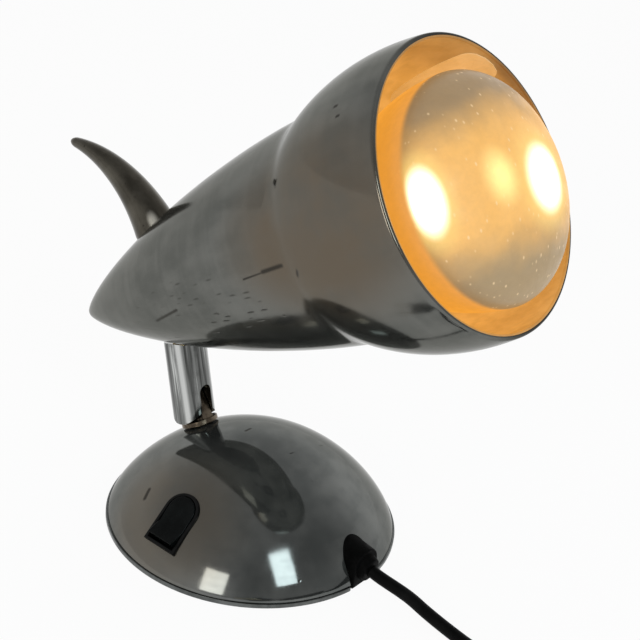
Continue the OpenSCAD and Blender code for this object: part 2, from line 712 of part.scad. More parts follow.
// Horn: a tapered tusk that bends back over the tail, seated on the shade's skin
horn_turn = horn_len / horn_bend * 180 / PI;
function horn_point(lean) = horn_axis_shift + [0,
    horn_root_y + horn_bend * (sin(lean) - sin(horn_start_lean)),
    horn_bend * (cos(lean) - cos(horn_start_lean))];
horn_sink = 4;
function horn_step(i) = i / horn_rings;
horn_path = concat(
    [horn_point(horn_start_lean) - horn_sink * [0, cos(horn_start_lean), -sin(horn_start_lean)]],
    [for (i = [0 : horn_rings]) horn_point(horn_start_lean + horn_turn * horn_step(i))]
);
tip_share = 0.94;
function horn_radius(t) = horn_base_r + (horn_tip_r - horn_base_r) * t;
function horn_round(t) = t < tip_share ? 1 : sqrt(max(0.02, 1 - pow((t - tip_share) / (1 - tip_share), 2)));
horn_radii = concat(
    [horn_base_r], [for (i = [0 : horn_rings]) horn_radius(horn_step(i)) * horn_round(horn_step(i))]);
seat_flare = seat_half * tan(shell_lean);
module horn() color([0.42, 0.40, 0.36]) difference() {
    in_shade() sweep(horn_path, horn_radii, horn_sides, [1, 0, 0]);
    in_shade() translate(horn_axis_shift - [0, 0, seat_half]) cylinder(
        r1 = horn_seat_r + fit_gap - seat_flare, r2 = horn_seat_r + fit_gap + seat_flare, h = 2 * seat_half);
    at_horn_seat() translate([0, 0, -horn_sink])
        cylinder(d = horn_screw_d + fit_gap, h = horn_sink + horn_screw_in);
}

horn_screw_head_d = 2 * horn_screw_d - 0.4;
horn_screw_head_t = 2.2;
horn_screw_tip_gap = 1.5;
head_dip = horn_seat_r - sqrt(pow(horn_seat_r, 2) - pow(horn_screw_head_d / 2, 2));
horn_head_z = -shade_wall - horn_screw_head_t - head_dip - fit_gap;
driver_slot_w = 0.9;
driver_slot_t = 0.9;
module horn_screw() color("lightgray") at_horn_seat() translate([0, 0, horn_head_z]) difference() {
    union() {
        cylinder(d = horn_screw_head_d, h = horn_screw_head_t);
        cylinder(d = horn_screw_d - fit_gap, h = horn_screw_in - horn_screw_tip_gap - horn_head_z);
    }
    translate([-horn_screw_head_d, -driver_slot_w / 2, -cut_over])
        cube([2 * horn_screw_head_d, driver_slot_w, cut_over + driver_slot_t]);
}

// Bracket: a bent strip from the nipple to the back of the lampholder
foot_mid = [-(pad_t - bracket_t / 2) * cos(shade_pitch), -(pad_t - bracket_t / 2) * sin(shade_pitch)];
foot_run = [-sin(shade_pitch), cos(shade_pitch)];
bracket_path = [
    foot_mid - (nut_r + 1) * foot_run, foot_mid + (nut_r + 2) * foot_run,
    [-lamp_drop - 13, holder_back_s - bracket_t / 2], [-lamp_drop + 12, holder_back_s - bracket_t / 2]
];
holder_screw_y = [-8, 8];
holder_screw_d = 3;
function leg_normal(i) =
    let (leg = bracket_path[i + 1] - bracket_path[i]) [-leg[1], leg[0]] / norm(leg);
bracket_last = len(bracket_path) - 1;
function bend_normal(i) =
    i == 0 ? leg_normal(0) :
    i == bracket_last ? leg_normal(i - 1) :
    (leg_normal(i - 1) + leg_normal(i)) / (1 + leg_normal(i - 1) * leg_normal(i));
function bracket_side(offset) = [for (i = [0 : bracket_last]) bracket_path[i] + offset * bend_normal(i)];
module holder_bracket() color("slategray") difference() {
    in_shade() rotate([90, 0, 90]) linear_extrude(bracket_w, center = true) polygon(concat(
        bracket_side(bracket_t / 2), [for (i = [bracket_last : -1 : 0]) bracket_side(-bracket_t / 2)[i]]));
    in_stem() translate([0, 0, stem_top]) cylinder(d = tube_d + 2 * fit_gap, h = stem_reach);
    in_lamp() translate([0, 0, holder_back_s - 2 * bracket_t]) {
        cylinder(r = 2.6, h = 3 * bracket_t);
        for (y = holder_screw_y) translate([0, y, 0])
            cylinder(d = holder_screw_d + 2 * fit_gap, h = 3 * bracket_t);
    }
}

holder_back_t = 3;
module holder_screws() color("lightgray") in_lamp() for (y = holder_screw_y)
translate([0, y, holder_back_s - bracket_t]) {
    translate([0, 0, -2]) cylinder(d = 1.8 * holder_screw_d, h = 2);
    cylinder(d = holder_screw_d, h = bracket_t + holder_back_t - 0.5);
}

// Lampholder: moulded shell, porcelain core, brass screw shell, centre contact
module holder_body() color([0.12, 0.11, 0.10]) in_lamp() difference() {
    translate([0, 0, holder_back_s]) cylinder(r = holder_r, h = cap_top_s - holder_back_s);
    translate([0, 0, core_s]) cylinder(r = holder_r - holder_wall, h = cap_top_s);
    translate([0, 0, holder_back_s - cut_over]) cylinder(r = 2.6, h = holder_back_t + 2 * cut_over);
    for (y = holder_screw_y) translate([0, y, holder_back_s - cut_over])
        cylinder(d = holder_screw_d, h = holder_back_t + 2 * cut_over);
}

module holder_core() color("linen") in_lamp() translate([0, 0, core_s])
    ring(holder_r - holder_wall - fit_gap, 2.6, core_t);

module holder_thread() color("goldenrod") in_lamp() translate([0, 0, core_s + core_t])
    ring(cap_r + thread_gap + 0.6, cap_r + thread_gap, cap_len);

module holder_contact() color("gold") in_lamp() {
    translate([0, 0, core_s + core_t]) cylinder(r = 4, h = contact_h);
    translate([0, 0, core_s + 1]) cylinder(r = 1.6, h = core_t - 1 + contact_h / 2);
}

// Leads from the nipple to the lampholder's back
head_lead_x = [-1.3, 1.3];
nipple_mouth = [-(stem_reach - nipple_top) * cos(shade_pitch), -(stem_reach - nipple_top) * sin(shade_pitch)];
module head_leads() color("white") in_shade() for (x = head_lead_x)
    tube(spline([
        [x, nipple_mouth[0], nipple_mouth[1]] + 0.4 * [0, cos(shade_pitch), sin(shade_pitch)],
        [x, nipple_mouth[0] + 3, nipple_mouth[1] + 2.4],
        [x, -1, 8], [x, 0, 18], [x, -1.2, 28],
        [x, -lamp_drop, holder_back_s - 8], [x, -lamp_drop, holder_back_s + 1]
    ], 3), lead_r, 6, [1, 0, 0]);

// Bulb: frosted reflector glass on a screw cap
flare_steps = 14;
crown_steps = 14;
function flare_line(inset) = [for (i = [0 : flare_steps]) let (t = i / flare_steps)
    [bulb_neck_r - inset + (bulb_d / 2 - bulb_neck_r) * sin(90 * t),
        bulb_neck_s + (bulb_wide_s - bulb_neck_s) * t]];
function crown_line(inset) = [for (i = [1 : crown_steps]) let (t = 90 * i / crown_steps)
    [(bulb_d / 2 - inset) * cos(t), bulb_wide_s + (bulb_crown - inset) * sin(t)]];
function glass_line(inset) = concat([[cap_r - 1 - inset, cap_top_s]], flare_line(inset), crown_line(inset));
module bulb_glass() color([1, 0.85, 0.55]) in_lamp() rotate_extrude($fn = 96) polygon(concat(
    glass_line(0), [for (i = [len(glass_line(glass_t)) - 1 : -1 : 0]) glass_line(glass_t)[i]]));

function cap_line() = concat(
    [[cap_r - 2, cap_s]],
    [for (i = [0 : thread_turns - 1]) for (k = [0 : 1])
        [cap_r - thread_depth * (1 - k), cap_s + 1 + thread_pitch * (i + k / 2)]],
    [[cap_r - thread_depth, cap_s + 1 + thread_pitch * thread_turns], [cap_r - thread_depth, cap_top_s]]
);
module bulb_cap() color("burlywood") in_lamp() rotate_extrude() polygon(concat(
    cap_line(), [[cap_r - 2, cap_top_s], [cap_r - 2, cap_s + 2], [9, cap_s + 2], [9, cap_s]]));

module bulb_insulator() color("black") in_lamp() difference() {
    translate([0, 0, bulb_end_s + 0.8]) cylinder(r1 = 6, r2 = 10.4, h = cap_s - bulb_end_s - 0.8);
    translate([0, 0, bulb_end_s]) cylinder(r = 1.5, h = cap_s);
}

module bulb_contact() color("lightgray") in_lamp() {
    translate([0, 0, bulb_end_s]) cylinder(r = 4.5, h = 0.8);
    translate([0, 0, bulb_end_s]) cylinder(r = 1.4, h = cap_s - bulb_end_s + 1);
}

// Glass mount: a foot in the cap, a pinched stem, and three wires that hold the filament
mount_len = 44;
mount_foot_r = cap_r - 2.5;
mount_foot_t = 4;
mount_stem_r = 3;
mount_pinch = 10;
mount_foot_top = cap_s + 2 + mount_foot_t;
mount_top = cap_top_s + mount_len;
filament_r = 11;
filament_s = mount_top + 6;
wire_r = 0.4;
wire_root = [mount_stem_r - 1, mount_top - 2];
wire_run = [filament_r - wire_root[0], filament_s - wire_root[1]];
module bulb_mount() color("lightcyan") in_lamp() {
    translate([0, 0, cap_s + 2]) ring(mount_foot_r, 2, mount_foot_t);
    translate([0, 0, mount_foot_top])
        cylinder(r1 = mount_foot_r - 2.5, r2 = mount_stem_r, h = mount_top - mount_pinch - mount_foot_top);
    translate([0, 0, mount_top - mount_pinch]) cylinder(r = mount_stem_r, h = mount_pinch);
    for (turn = [-120, 0, 120]) rotate(turn) translate([wire_root[0], 0, wire_root[1]])
        rotate([0, atan2(wire_run[0], wire_run[1]), 0]) cylinder(r = wire_r, h = norm(wire_run) - 2 * wire_r);
}

module bulb_filament() color("orange") in_lamp() translate([0, 0, filament_s])
    rotate(-150) rotate_extrude(angle = 300) translate([filament_r, 0]) circle(r = 0.5, $fn = 16);

// Plain paper label on the inside of the bell, above the bulb on the far side
label_from = 2.5;
label_to = 44;
label_turn = 41;
label_angle = 19;
label_t = 0.3;
label_steps = 6;
function label_edge(inset) =
    [for (i = [0 : label_steps]) let (x = bell_len - label_to + (label_to - label_from) * i / label_steps)
        [bell_at(x) - shade_wall - inset, body_len + x]];
label_inside = label_edge(fit_gap + label_t);
module inner_label() color("white") in_shade() translate([0, 0, -tail_len]) rotate(label_turn)
    rotate_extrude(angle = label_angle) polygon(concat(
        label_edge(fit_gap), [for (i = [label_steps : -1 : 0]) label_inside[i]]));

// Cord: the stretch from the gland, the coil of two layers, and the short end to the plug
module cord_free() color([0.04, 0.04, 0.04]) tube(spline(free_route, 2), cord_d / 2, 8);
module cord_tail() color([0.04, 0.04, 0.04]) tube(spline(tail_route, 2), cord_d / 2, 8);

coil_total = 2 * coil_turns + coil_climb;
coil_dip = coil_pitch * coil_climb / PI;
function coil_radius(turn) =
    turn < coil_turns ? coil_in_r + coil_pitch * (coil_turns - turn) :
    turn > coil_turns + coil_climb ? coil_in_r + coil_pitch * (turn - coil_turns - coil_climb) :
    coil_in_r - coil_dip * sin(180 * (turn - coil_turns) / coil_climb);
function coil_rise(turn) =
    let (t = max(0, min(1, (turn - coil_turns) / coil_climb))) coil_pitch * t * t * (3 - 2 * t);
function coil_point(turn) = [
    coil_center[0] + coil_radius(turn) * cos(-360 * turn),
    coil_center[1] + coil_radius(turn) * sin(-360 * turn),
    coil_low_z + coil_rise(turn)];
coil_count = coil_total * coil_rings;
coil_loops = [for (i = [0 : coil_count]) coil_point(i / coil_rings)];
coil_path = concat([coil_start + [0, cord_d, 0]], coil_loops, [coil_end + [0, cord_d, 0]]);
coil_skip = coil_rings / 2;
coil_least = min([for (i = [0 : coil_count - coil_skip]) for (k = [i + coil_skip : coil_count])
    norm(coil_loops[k] - coil_loops[i])]) - cord_d;
echo(coil_self_gap = coil_least);
module cord_coil() color([0.04, 0.04, 0.04]) tube(coil_path, cord_d / 2, coil_sides);

// Tie: a flat band closed round the bundle on the side away from both ends
tie_w = 7;
tie_t = 0.6;
tie_low = coil_low_z - cord_d / 2 - move_gap;
tie_high = coil_low_z + coil_pitch + cord_d / 2 + move_gap;
tie_in = coil_in_r - coil_pitch / 2 - cord_d / 2 - move_gap;
tie_out = coil_out_r + cord_d / 2 + move_gap;
module cord_tie() color("dimgray") translate([coil_center[0], coil_center[1], 0]) rotate([90, 0, -90])
linear_extrude(tie_w, center = true) difference() {
    translate([tie_in - tie_t, tie_low - tie_t])
        square([tie_out - tie_in + 2 * tie_t, tie_high - tie_low + 2 * tie_t]);
    translate([tie_in, tie_low]) square([tie_out - tie_in, tie_high - tie_low]);
}

// Plug: a flat moulded body with a tapered neck and two round pins
plug_neck = 9;
plug_w = 26;
plug_h = 13;
plug_pin_r = 2;
module plug_body() color([0.05, 0.05, 0.05]) translate(plug_back) rotate([-90, 0, 0]) difference() {
    union() {
        cylinder(r1 = cord_d / 2 + 1, r2 = plug_h / 2 - 1, h = plug_neck);
        translate([0, 0, plug_neck]) linear_extrude(plug_len - plug_neck) {
            square([plug_w - plug_h, plug_h], center = true);
            for (x = [-1, 1]) translate([x * (plug_w - plug_h) / 2, 0]) circle(d = plug_h);
        }
    }
    for (x = [-1, 1]) translate([x * plug_pin_pitch / 2, 0, plug_len - 8])
        cylinder(r = plug_pin_r + fit_gap / 2, h = 8 + cut_over);
}

module plug_pins() color("silver") translate(plug_back) rotate([-90, 0, 0])
for (x = [-1, 1]) translate([x * plug_pin_pitch / 2, 0, plug_len - 8]) {
    cylinder(r = plug_pin_r, h = 8 + plug_pin_len - plug_pin_r);
    translate([0, 0, 8 + plug_pin_len - plug_pin_r]) sphere(r = plug_pin_r);
}

// Places that the joints and mounts stand on
echo(foot = [0, foot_r, dome_z(foot_r)], swivel_axis = [0, sin(foot_lean), cos(foot_lean)]);
echo(pivot = [0, foot_r + pivot_h * sin(foot_lean), dome_z(foot_r) + pivot_h * cos(foot_lean)]);
echo(rocker = in_case(0, 0, rocker_axis_z));
echo(gland_tip = gland_tip, shade_elevation = foot_lean - rest_tilt + shade_pitch, stem_top = stem_top);

base_plate();
base_dome();
plate_screws();
switch_case();
switch_rocker();
switch_terminals();
cable_gland();
cord_clamp();
clamp_screws();
terminal_block();
base_leads();
swivel_tongue();
swivel_washer();
swivel_nut();
stem();
pivot_screw();
stem_nipple();
nipple_nut();
shade();
horn();
horn_screw();
holder_bracket();
holder_screws();
holder_body();
holder_core();
holder_thread();
holder_contact();
head_leads();
bulb_glass();
bulb_cap();
bulb_insulator();
bulb_contact();
bulb_mount();
bulb_filament();
inner_label();
cord_free();
cord_coil();
cord_tail();
cord_tie();
plug_body();
plug_pins();
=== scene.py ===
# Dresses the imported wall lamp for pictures: finer shapes over its solids, materials, cord and studio.
# Lengths are in millimetres until a mesh is finished; the scene itself is in metres.
import math

import bmesh
import bpy
from mathutils import Matrix, Vector


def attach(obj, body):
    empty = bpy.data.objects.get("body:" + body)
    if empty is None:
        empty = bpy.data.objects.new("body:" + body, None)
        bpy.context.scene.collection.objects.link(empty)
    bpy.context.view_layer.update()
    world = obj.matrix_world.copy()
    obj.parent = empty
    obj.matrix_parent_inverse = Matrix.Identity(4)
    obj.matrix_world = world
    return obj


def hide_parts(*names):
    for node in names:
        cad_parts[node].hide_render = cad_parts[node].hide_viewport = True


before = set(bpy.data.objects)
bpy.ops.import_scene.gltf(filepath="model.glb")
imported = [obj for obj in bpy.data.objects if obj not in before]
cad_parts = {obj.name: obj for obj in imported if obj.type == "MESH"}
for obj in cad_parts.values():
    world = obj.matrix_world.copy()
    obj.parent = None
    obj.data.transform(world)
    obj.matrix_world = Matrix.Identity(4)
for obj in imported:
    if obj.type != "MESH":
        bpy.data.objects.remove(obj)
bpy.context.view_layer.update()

MM = 0.001
scene = bpy.context.scene

# Camera at the photograph's viewing angle
CAMERA_AT = Vector((-353.4, -279.12, 313.0))
CAMERA_RIGHT = Vector((0.6292, -0.7684, 0.1167))
CAMERA_UP = Vector((0.2744, 0.3601, 0.8917))
CAMERA_LENS = 73.1
CAMERA_SENSOR = 36

# Base
BASE_R = 60
PLATE_T = 2
PLATE_EDGE = 0.4
DOME_R = 59.2
DOME_H = 37
DOME_WALL = 1.6
DOME_CROWN = 1.95
DOME_SHOULDER = 1.3
WALL_HOLE_X = 26
WALL_HOLE_R = 2.3
PLATE_SCREW_R = 46
PLATE_SCREW_TURNS = (0, 130, 235)
PLATE_SCREW_HOLE_R = 1.6
PLATE_SCREW_HEAD_R = 3.1
PLATE_SCREW_HEAD_H = 1.4
CLAMP_SCREW_AT = ((-8, -26), (8, -26))
PLATE_NOTCH_W = 16.8
PLATE_NOTCH_R = 47

# Switch
SWITCH_R = 46.5
SWITCH_LEN = 23
SWITCH_W = 15.5
SWITCH_DEPTH = 8.5
SWITCH_WALL = 1.3
CASE_RISE = 0.5
ROCKER_LEN = 19.0
ROCKER_W = 12.2
ROCKER_AXIS_Z = -3.4
ROCKER_REST = 7
ROCKER_CREASE = -3
ROCKER_FACE = 2.4
ROCKER_FOOT = -2.4
ROCKER_FOOT_SPREAD = 1.6
ROCKER_END_Z = 0.6
ROCKER_BLANK_Z = 12
ROCKER_ROUND = 0.45
TRUNNION_R = 1.2
AXLE_GAP = 0.35

# Cable gland and cord
GLAND_REACH = 51
GLAND_Z = 9
GLAND_DROOP = 9
GLAND_D = 14.8
GLAND_NECK = 8
GLAND_NOSE = 11.5
GLAND_FLANGE_R = 8
GLAND_FLANGE_T = 2
GLAND_BLOCK_Y = (-59.5, -47.5)
GLAND_BLOCK_Z = 0.4
GLAND_NOSE_R = 5.9
GLAND_STEP_Z = (7.6, 7.8)
GLAND_TIP_R = 5.1
GLAND_TIP_SOFT = 1.2
GLAND_ROUND = 0.6
CORD_D = 5
COIL_CENTER = Vector((-45, -152, 0))
COIL_PITCH = 5.5
COIL_IN_R = 20.5
COIL_TURNS = 3.5
COIL_CLIMB = 0.5
COIL_LOW_Z = 3.5
COIL_RINGS = 48
COIL_OUT_R = COIL_IN_R + COIL_PITCH * COIL_TURNS
TIE_W = 7
TIE_T = 0.6
TIE_GAP = 0.35
TIE_CORNER = 2.2
TIE_EDGE = 0.15
PLUG_RUN = 32
PLUG_Z = 8
PLUG_LEN = 36
PLUG_PIN_LEN = 19
PLUG_PIN_PITCH = 18.6
PLUG_PIN_R = 2

# Knuckle and stem
FOOT_R = 32.5
COLLAR_R = 7.7
COLLAR_LIFT = 0.35
COLLAR_T = 1.7
TONGUE_T = 5.4
TONGUE_W = 12
TONGUE_END_R = 4.4
TONGUE_ROUND = 0.3
TONGUE_WINDOW = (10.8, 3.4, 4.4)
PIVOT_H = 12
PIVOT_R = 2.06
PIVOT_BLIND = 3.5
TUBE_R = 5
TUBE_BORE_R = 3.2
TUBE_BELOW = 14
STEM_R = 8.75
STEM_REACH = 48.8
STEM_LIP = 4
STEM_TOP_GAP = 0.6
STEM_BORE_R = 2.8
STEM_ROUND = 0.35
FORK_R = 9.6
SLOT_W = 6.2
SLOT_ARCH_Z = 3.23
REST_TILT = 14.4
NIPPLE_HOLE_R = 5.1
NIPPLE_GRIP = 9
PIVOT_HEAD_R = 3.7
PIVOT_HEAD_X = 5.1

# Shade, horn, bulb and label
SHADE_PITCH = 17.7
TAIL_LEN = 58.3
BODY_LEN = 159.6
BELL_LEN = 55.2
CREASE_R = 42.6
BELL_R = 52.8
BELL_PEAK = 14
SHADE_WALL = 2
TAIL_ROUND = 6
TAIL_CUT = 3
BODY_FULLNESS = 1.5
BODY_ROUNDNESS = 0.78
INNER_TAIL = 8
CREASE_SOFT = 4.5
RIM_SOFT = 1.2
RIM_INNER_SOFT = 0.6
BARE_RIM = 1.1
RIM_Z = BODY_LEN + BELL_LEN - TAIL_LEN
HORN_BEND = 64
HORN_LEN = 59
HORN_BASE_R = 9
HORN_TIP_R = 1.8
HORN_START_LEAN = 8
HORN_SINK = 4
HORN_TIP_SHARE = 0.94
HORN_SEAT_X = TAIL_LEN - 1
HORN_ROOT_DEPTH = 0.5
HORN_SCREW_HOLE_R = 2.1
LAMP_DROP = 1.75
BULB_R = 40
BULB_NECK_R = 17
BULB_CAP_R = 12
BULB_CAP_Z = 90.5
BULB_NECK_Z = 97.5
BULB_WIDE_Z = 156.5
BULB_CROWN = 20
LABEL_FROM = 2.5
LABEL_TO = 44
LABEL_TURN = 41
LABEL_ANGLE = 19
LABEL_GAP = 0.1
LABEL_T = 0.3
LABEL_CORNER = 6


def cos_deg(angle):
    return math.cos(math.radians(angle))


def sin_deg(angle):
    return math.sin(math.radians(angle))


def move(x, y, z):
    return Matrix.Translation((x, y, z))


def turn(angle, axis):
    return Matrix.Rotation(math.radians(angle), 4, axis)


def dome_rise(r, edge_r, crown_h):
    return crown_h * max(0, 1 - (r / edge_r) ** DOME_CROWN) ** (1 / DOME_SHOULDER)


def dome_z(r):
    return PLATE_T + dome_rise(r, DOME_R, DOME_H)


def dome_lean(r):
    step = 0.05
    return math.degrees(math.atan((dome_z(r - step) - dome_z(r + step)) / (2 * step)))


def body_r(x):
    share = max(0, 1 - (x + TAIL_CUT) / (BODY_LEN + TAIL_CUT))
    ogive = CREASE_R * (1 - share**BODY_FULLNESS) ** BODY_ROUNDNESS
    if x < TAIL_ROUND:
        return min(ogive, math.sqrt(max(0, 2 * TAIL_ROUND * x - x * x)))
    return ogive


def bell_at(x):
    span = BELL_LEN - BELL_PEAK
    arc = (span**2 + (BELL_R - CREASE_R) ** 2) / (2 * (BELL_R - CREASE_R))
    return BELL_R - arc + math.sqrt(arc**2 - (x - span) ** 2)


def outer_r(x):
    if x < BODY_LEN:
        return body_r(x)
    return bell_at(x - BODY_LEN)


def skin_below_axis():
    """Where the stem's axis meets the shade's skin, counted down from the shade's axis."""
    distance = CREASE_R / 2
    for _ in range(12):
        distance = outer_r(TAIL_LEN - distance * sin_deg(SHADE_PITCH)) / cos_deg(SHADE_PITCH)
    return distance


STEM_TOP = STEM_REACH - skin_below_axis() - STEM_TOP_GAP

# Frames of the pieces, as in the source of the solids
AT_WORLD = Matrix.Identity(4)
AT_FOOT = move(0, FOOT_R, dome_z(FOOT_R)) @ turn(-dome_lean(FOOT_R), "X")
AT_PIVOT = AT_FOOT @ move(0, 0, PIVOT_H)
IN_STEM = AT_PIVOT @ turn(REST_TILT, "X")
IN_SHADE = IN_STEM @ move(0, 0, STEM_REACH) @ turn(90 - SHADE_PITCH, "X")
IN_LAMP = IN_SHADE @ move(0, -LAMP_DROP, 0)
AT_SWITCH = move(-SWITCH_R, 0, dome_z(SWITCH_R)) @ turn(-dome_lean(SWITCH_R), "Y")
AT_ROCKER = AT_SWITCH @ move(0, 0, ROCKER_AXIS_Z) @ turn(ROCKER_REST, "Y")
AT_GLAND = move(0, -GLAND_REACH, GLAND_Z) @ turn(90 + GLAND_DROOP, "X")


def on_circle(radius, angle):
    return (radius * cos_deg(angle), radius * sin_deg(angle))


def add_object(name, data):
    made = bpy.data.objects.new(name, data)
    scene.collection.objects.link(made)
    return made


def mesh_from(bm, name):
    """A finished mesh from a working one, which is used up."""
    mesh = bpy.data.meshes.new(name)
    bm.to_mesh(mesh)
    bm.free()
    return mesh


def add_camera():
    data = bpy.data.cameras.new("camera")
    data.lens = CAMERA_LENS
    data.sensor_width = CAMERA_SENSOR
    data.clip_start = 0.01
    data.clip_end = 60
    camera = add_object("camera", data)
    right = CAMERA_RIGHT.normalized()
    up = (CAMERA_UP - CAMERA_UP.dot(right) * right).normalized()
    back = right.cross(up)
    axes = Matrix((right, up, back)).transposed().to_4x4()
    camera.matrix_world = Matrix.Translation(CAMERA_AT * MM) @ axes
    scene.camera = camera


add_camera()


# Materials

MARK_STRENGTH = 0.85


def feed(tree, socket, value):
    """Links another node's output to the socket, or sets the socket to a plain value."""
    if isinstance(value, bpy.types.NodeSocket):
        tree.links.new(value, socket)
    else:
        socket.default_value = value


def add_node(tree, kind, inputs=(), **settings):
    """A new node with its settings made and its inputs linked or set."""
    made = tree.nodes.new(kind)
    for key, value in settings.items():
        setattr(made, key, value)
    for key, value in dict(inputs).items():
        feed(tree, made.inputs[key], value)
    return made


def new_tree(owner):
    """The empty node tree of a material or a world."""
    owner.use_nodes = True
    owner.node_tree.nodes.clear()
    return owner.node_tree


def add_math(tree, operation, a, b=0.0):
    return add_node(tree, "ShaderNodeMath", {0: a, 1: b}, operation=operation).outputs[0]


def add_span(tree, value, start, end, low=0.0, high=1.0):
    """Maps start..end smoothly to low..high, and holds both ends."""
    inputs = {"Value": value, "From Min": start, "From Max": end, "To Min": low, "To Max": high}
    return add_node(tree, "ShaderNodeMapRange", inputs, interpolation_type="SMOOTHSTEP").outputs[0]


def grey(level):
    return (level, level, level)


class Look:
    """A node material in the making. Its place is in millimetres, in the frame of the piece or the object."""

    def __init__(self, name, own_frame=True):
        self.material = bpy.data.materials.new(name)
        self.tree = new_tree(self.material)
        self.shader = self.add("ShaderNodeBsdfPrincipled")
        self.add("ShaderNodeOutputMaterial", {"Surface": self.shader.outputs[0]})
        if own_frame:
            self.place = self.add("ShaderNodeAttribute", attribute_name="local").outputs["Vector"]
        else:
            metres = self.add("ShaderNodeTexCoord").outputs["Object"]
            self.place = self.vector("SCALE", {0: metres, "Scale": 1 / MM})[0]

    def add(self, kind, inputs=(), **settings):
        return add_node(self.tree, kind, inputs, **settings)

    def finish(self, **values):
        """Sets the shader's sockets and gives the material; an underscore in a name stands for a space."""
        for key, value in values.items():
            feed(self.tree, self.shader.inputs[key.replace("_", " ")], value)
        return self.material

    def stretched(self, stretch, place=None):
        where = self.place if place is None else place
        if stretch is None:
            return where
        return self.add("ShaderNodeMapping", {"Vector": where, "Scale": stretch}).outputs[0]

    def unrolled(self, radius):
        """The place on a skin of about that radius, rolled flat: way around z, then way along z."""
        angle = self.math("ARCTAN2", self.axis("X"), self.axis("Y"))
        inputs = {0: self.math("MULTIPLY", angle, radius), 1: self.axis("Z")}
        return self.add("ShaderNodeCombineXYZ", inputs).outputs[0]

    def noise(self, size, detail=3, stretch=None, roughness=0.55):
        """Cloudy noise with features of about that size in millimetres."""
        where = self.stretched(stretch)
        inputs = {"Vector": where, "Scale": 1 / size, "Detail": detail, "Roughness": roughness}
        return self.add("ShaderNodeTexNoise", inputs).outputs[0]

    def cells(self, size, stretch=None, place=None):
        """Distance to the nearest of scattered points, and a random value for each; flat on a given place."""
        inputs = {"Vector": self.stretched(stretch, place), "Scale": 1 / size}
        dimensions = "3D" if place is None else "2D"
        made = self.add("ShaderNodeTexVoronoi", inputs, voronoi_dimensions=dimensions)
        chance = self.add("ShaderNodeSeparateColor", {0: made.outputs["Color"]}).outputs[0]
        return made.outputs["Distance"], chance

    def span(self, *values):
        return add_span(self.tree, *values)

    def math(self, *values):
        return add_math(self.tree, *values)

    def vector(self, operation, inputs):
        """The outputs of a sum on vectors: first the vector, and Value."""
        return self.add("ShaderNodeVectorMath", inputs, operation=operation).outputs

    def total(self, *parts):
        """The sum of values, each times its share."""
        values = [self.math("MULTIPLY", value, share) for value, share in parts]
        made = values[0]
        for value in values[1:]:
            made = self.math("ADD", made, value)
        return made

    def specks(self, size, inner, outer, chance, strength=1.0, stretch=None):
        """Specks on those of the scattered points whose random value is above the span of chance."""
        distance, value = self.cells(size, stretch)
        spot = self.span(distance, inner, outer, strength, 0.0)
        return self.math("MULTIPLY", spot, self.span(value, *chance))

    def mix(self, share, a, b):
        inputs = {0: share}
        for index, colour in ((6, a), (7, b)):
            inputs[index] = colour if isinstance(colour, bpy.types.NodeSocket) else (*colour, 1)
        return self.add("ShaderNodeMix", inputs, data_type="RGBA").outputs[2]

    def blob(self, spot, radii, inner, outer):
        """1 inside an egg of these radii, falling smoothly to 0; inner and outer are shares of the radii."""
        away = self.vector("SUBTRACT", {0: self.place, 1: spot})[0]
        scaled = self.vector("DIVIDE", {0: away, 1: radii})[0]
        distance = self.vector("LENGTH", {0: scaled})["Value"]
        return self.span(distance, inner, outer, 1.0, 0.0)

    def scratch(self, start, end, width):
        """A straight mark between two places, falling to 0 within that width."""
        run = Vector(end) - Vector(start)
        away = self.vector("SUBTRACT", {0: self.place, 1: start})[0]
        share = self.vector("DOT_PRODUCT", {0: away, 1: run / run.length_squared})["Value"]
        held = self.add("ShaderNodeClamp", {0: share}).outputs[0]
        along = self.vector("SCALE", {0: run, "Scale": held})[0]
        distance = self.vector("DISTANCE", {0: away, 1: along})["Value"]
        return self.span(distance, 0.2 * width, width, MARK_STRENGTH, 0.0)

    def axis(self, name):
        return self.add("ShaderNodeSeparateXYZ", {0: self.place}).outputs[name]

    def bump(self, height, depth, normal=None):
        """Bump whose full height is that many millimetres."""
        inputs = {"Height": height, "Distance": depth * MM, "Strength": 1.0}
        if normal is not None:
            inputs["Normal"] = normal
        return self.add("ShaderNodeBump", inputs).outputs[0]


def finish_look(name, dark, light, metallic, gloss, grain, depth, specular=0.5, own_frame=True):
    """A material with clouded colour, uneven gloss and a fine grain."""
    look = Look(name, own_frame)
    cloud = look.noise(grain * 9, 4)
    fine = look.noise(grain, 3)
    share = look.total((cloud, 0.7), (fine, 0.3))
    return look.finish(
        Base_Color=look.mix(look.span(share, 0.36, 0.64), dark, light),
        Roughness=look.span(look.noise(grain * 5, 4), 0.35, 0.68, *gloss),
        Metallic=metallic,
        Specular_IOR_Level=specular,
        Normal=look.bump(fine, depth),
    )


SPIN = (0.03, 0.03, 1.0)
LENGTHWISE = (1.0, 0.13, 1.0)
NICK_SKIN_R = 28
EDGE_TINT = (0.56, 0.56, 0.54, 1.0)
# Colour of the marks, also used for the rim's painted shade
MARK_AND_SHADE_COLOUR = (0.022, 0.020, 0.017)

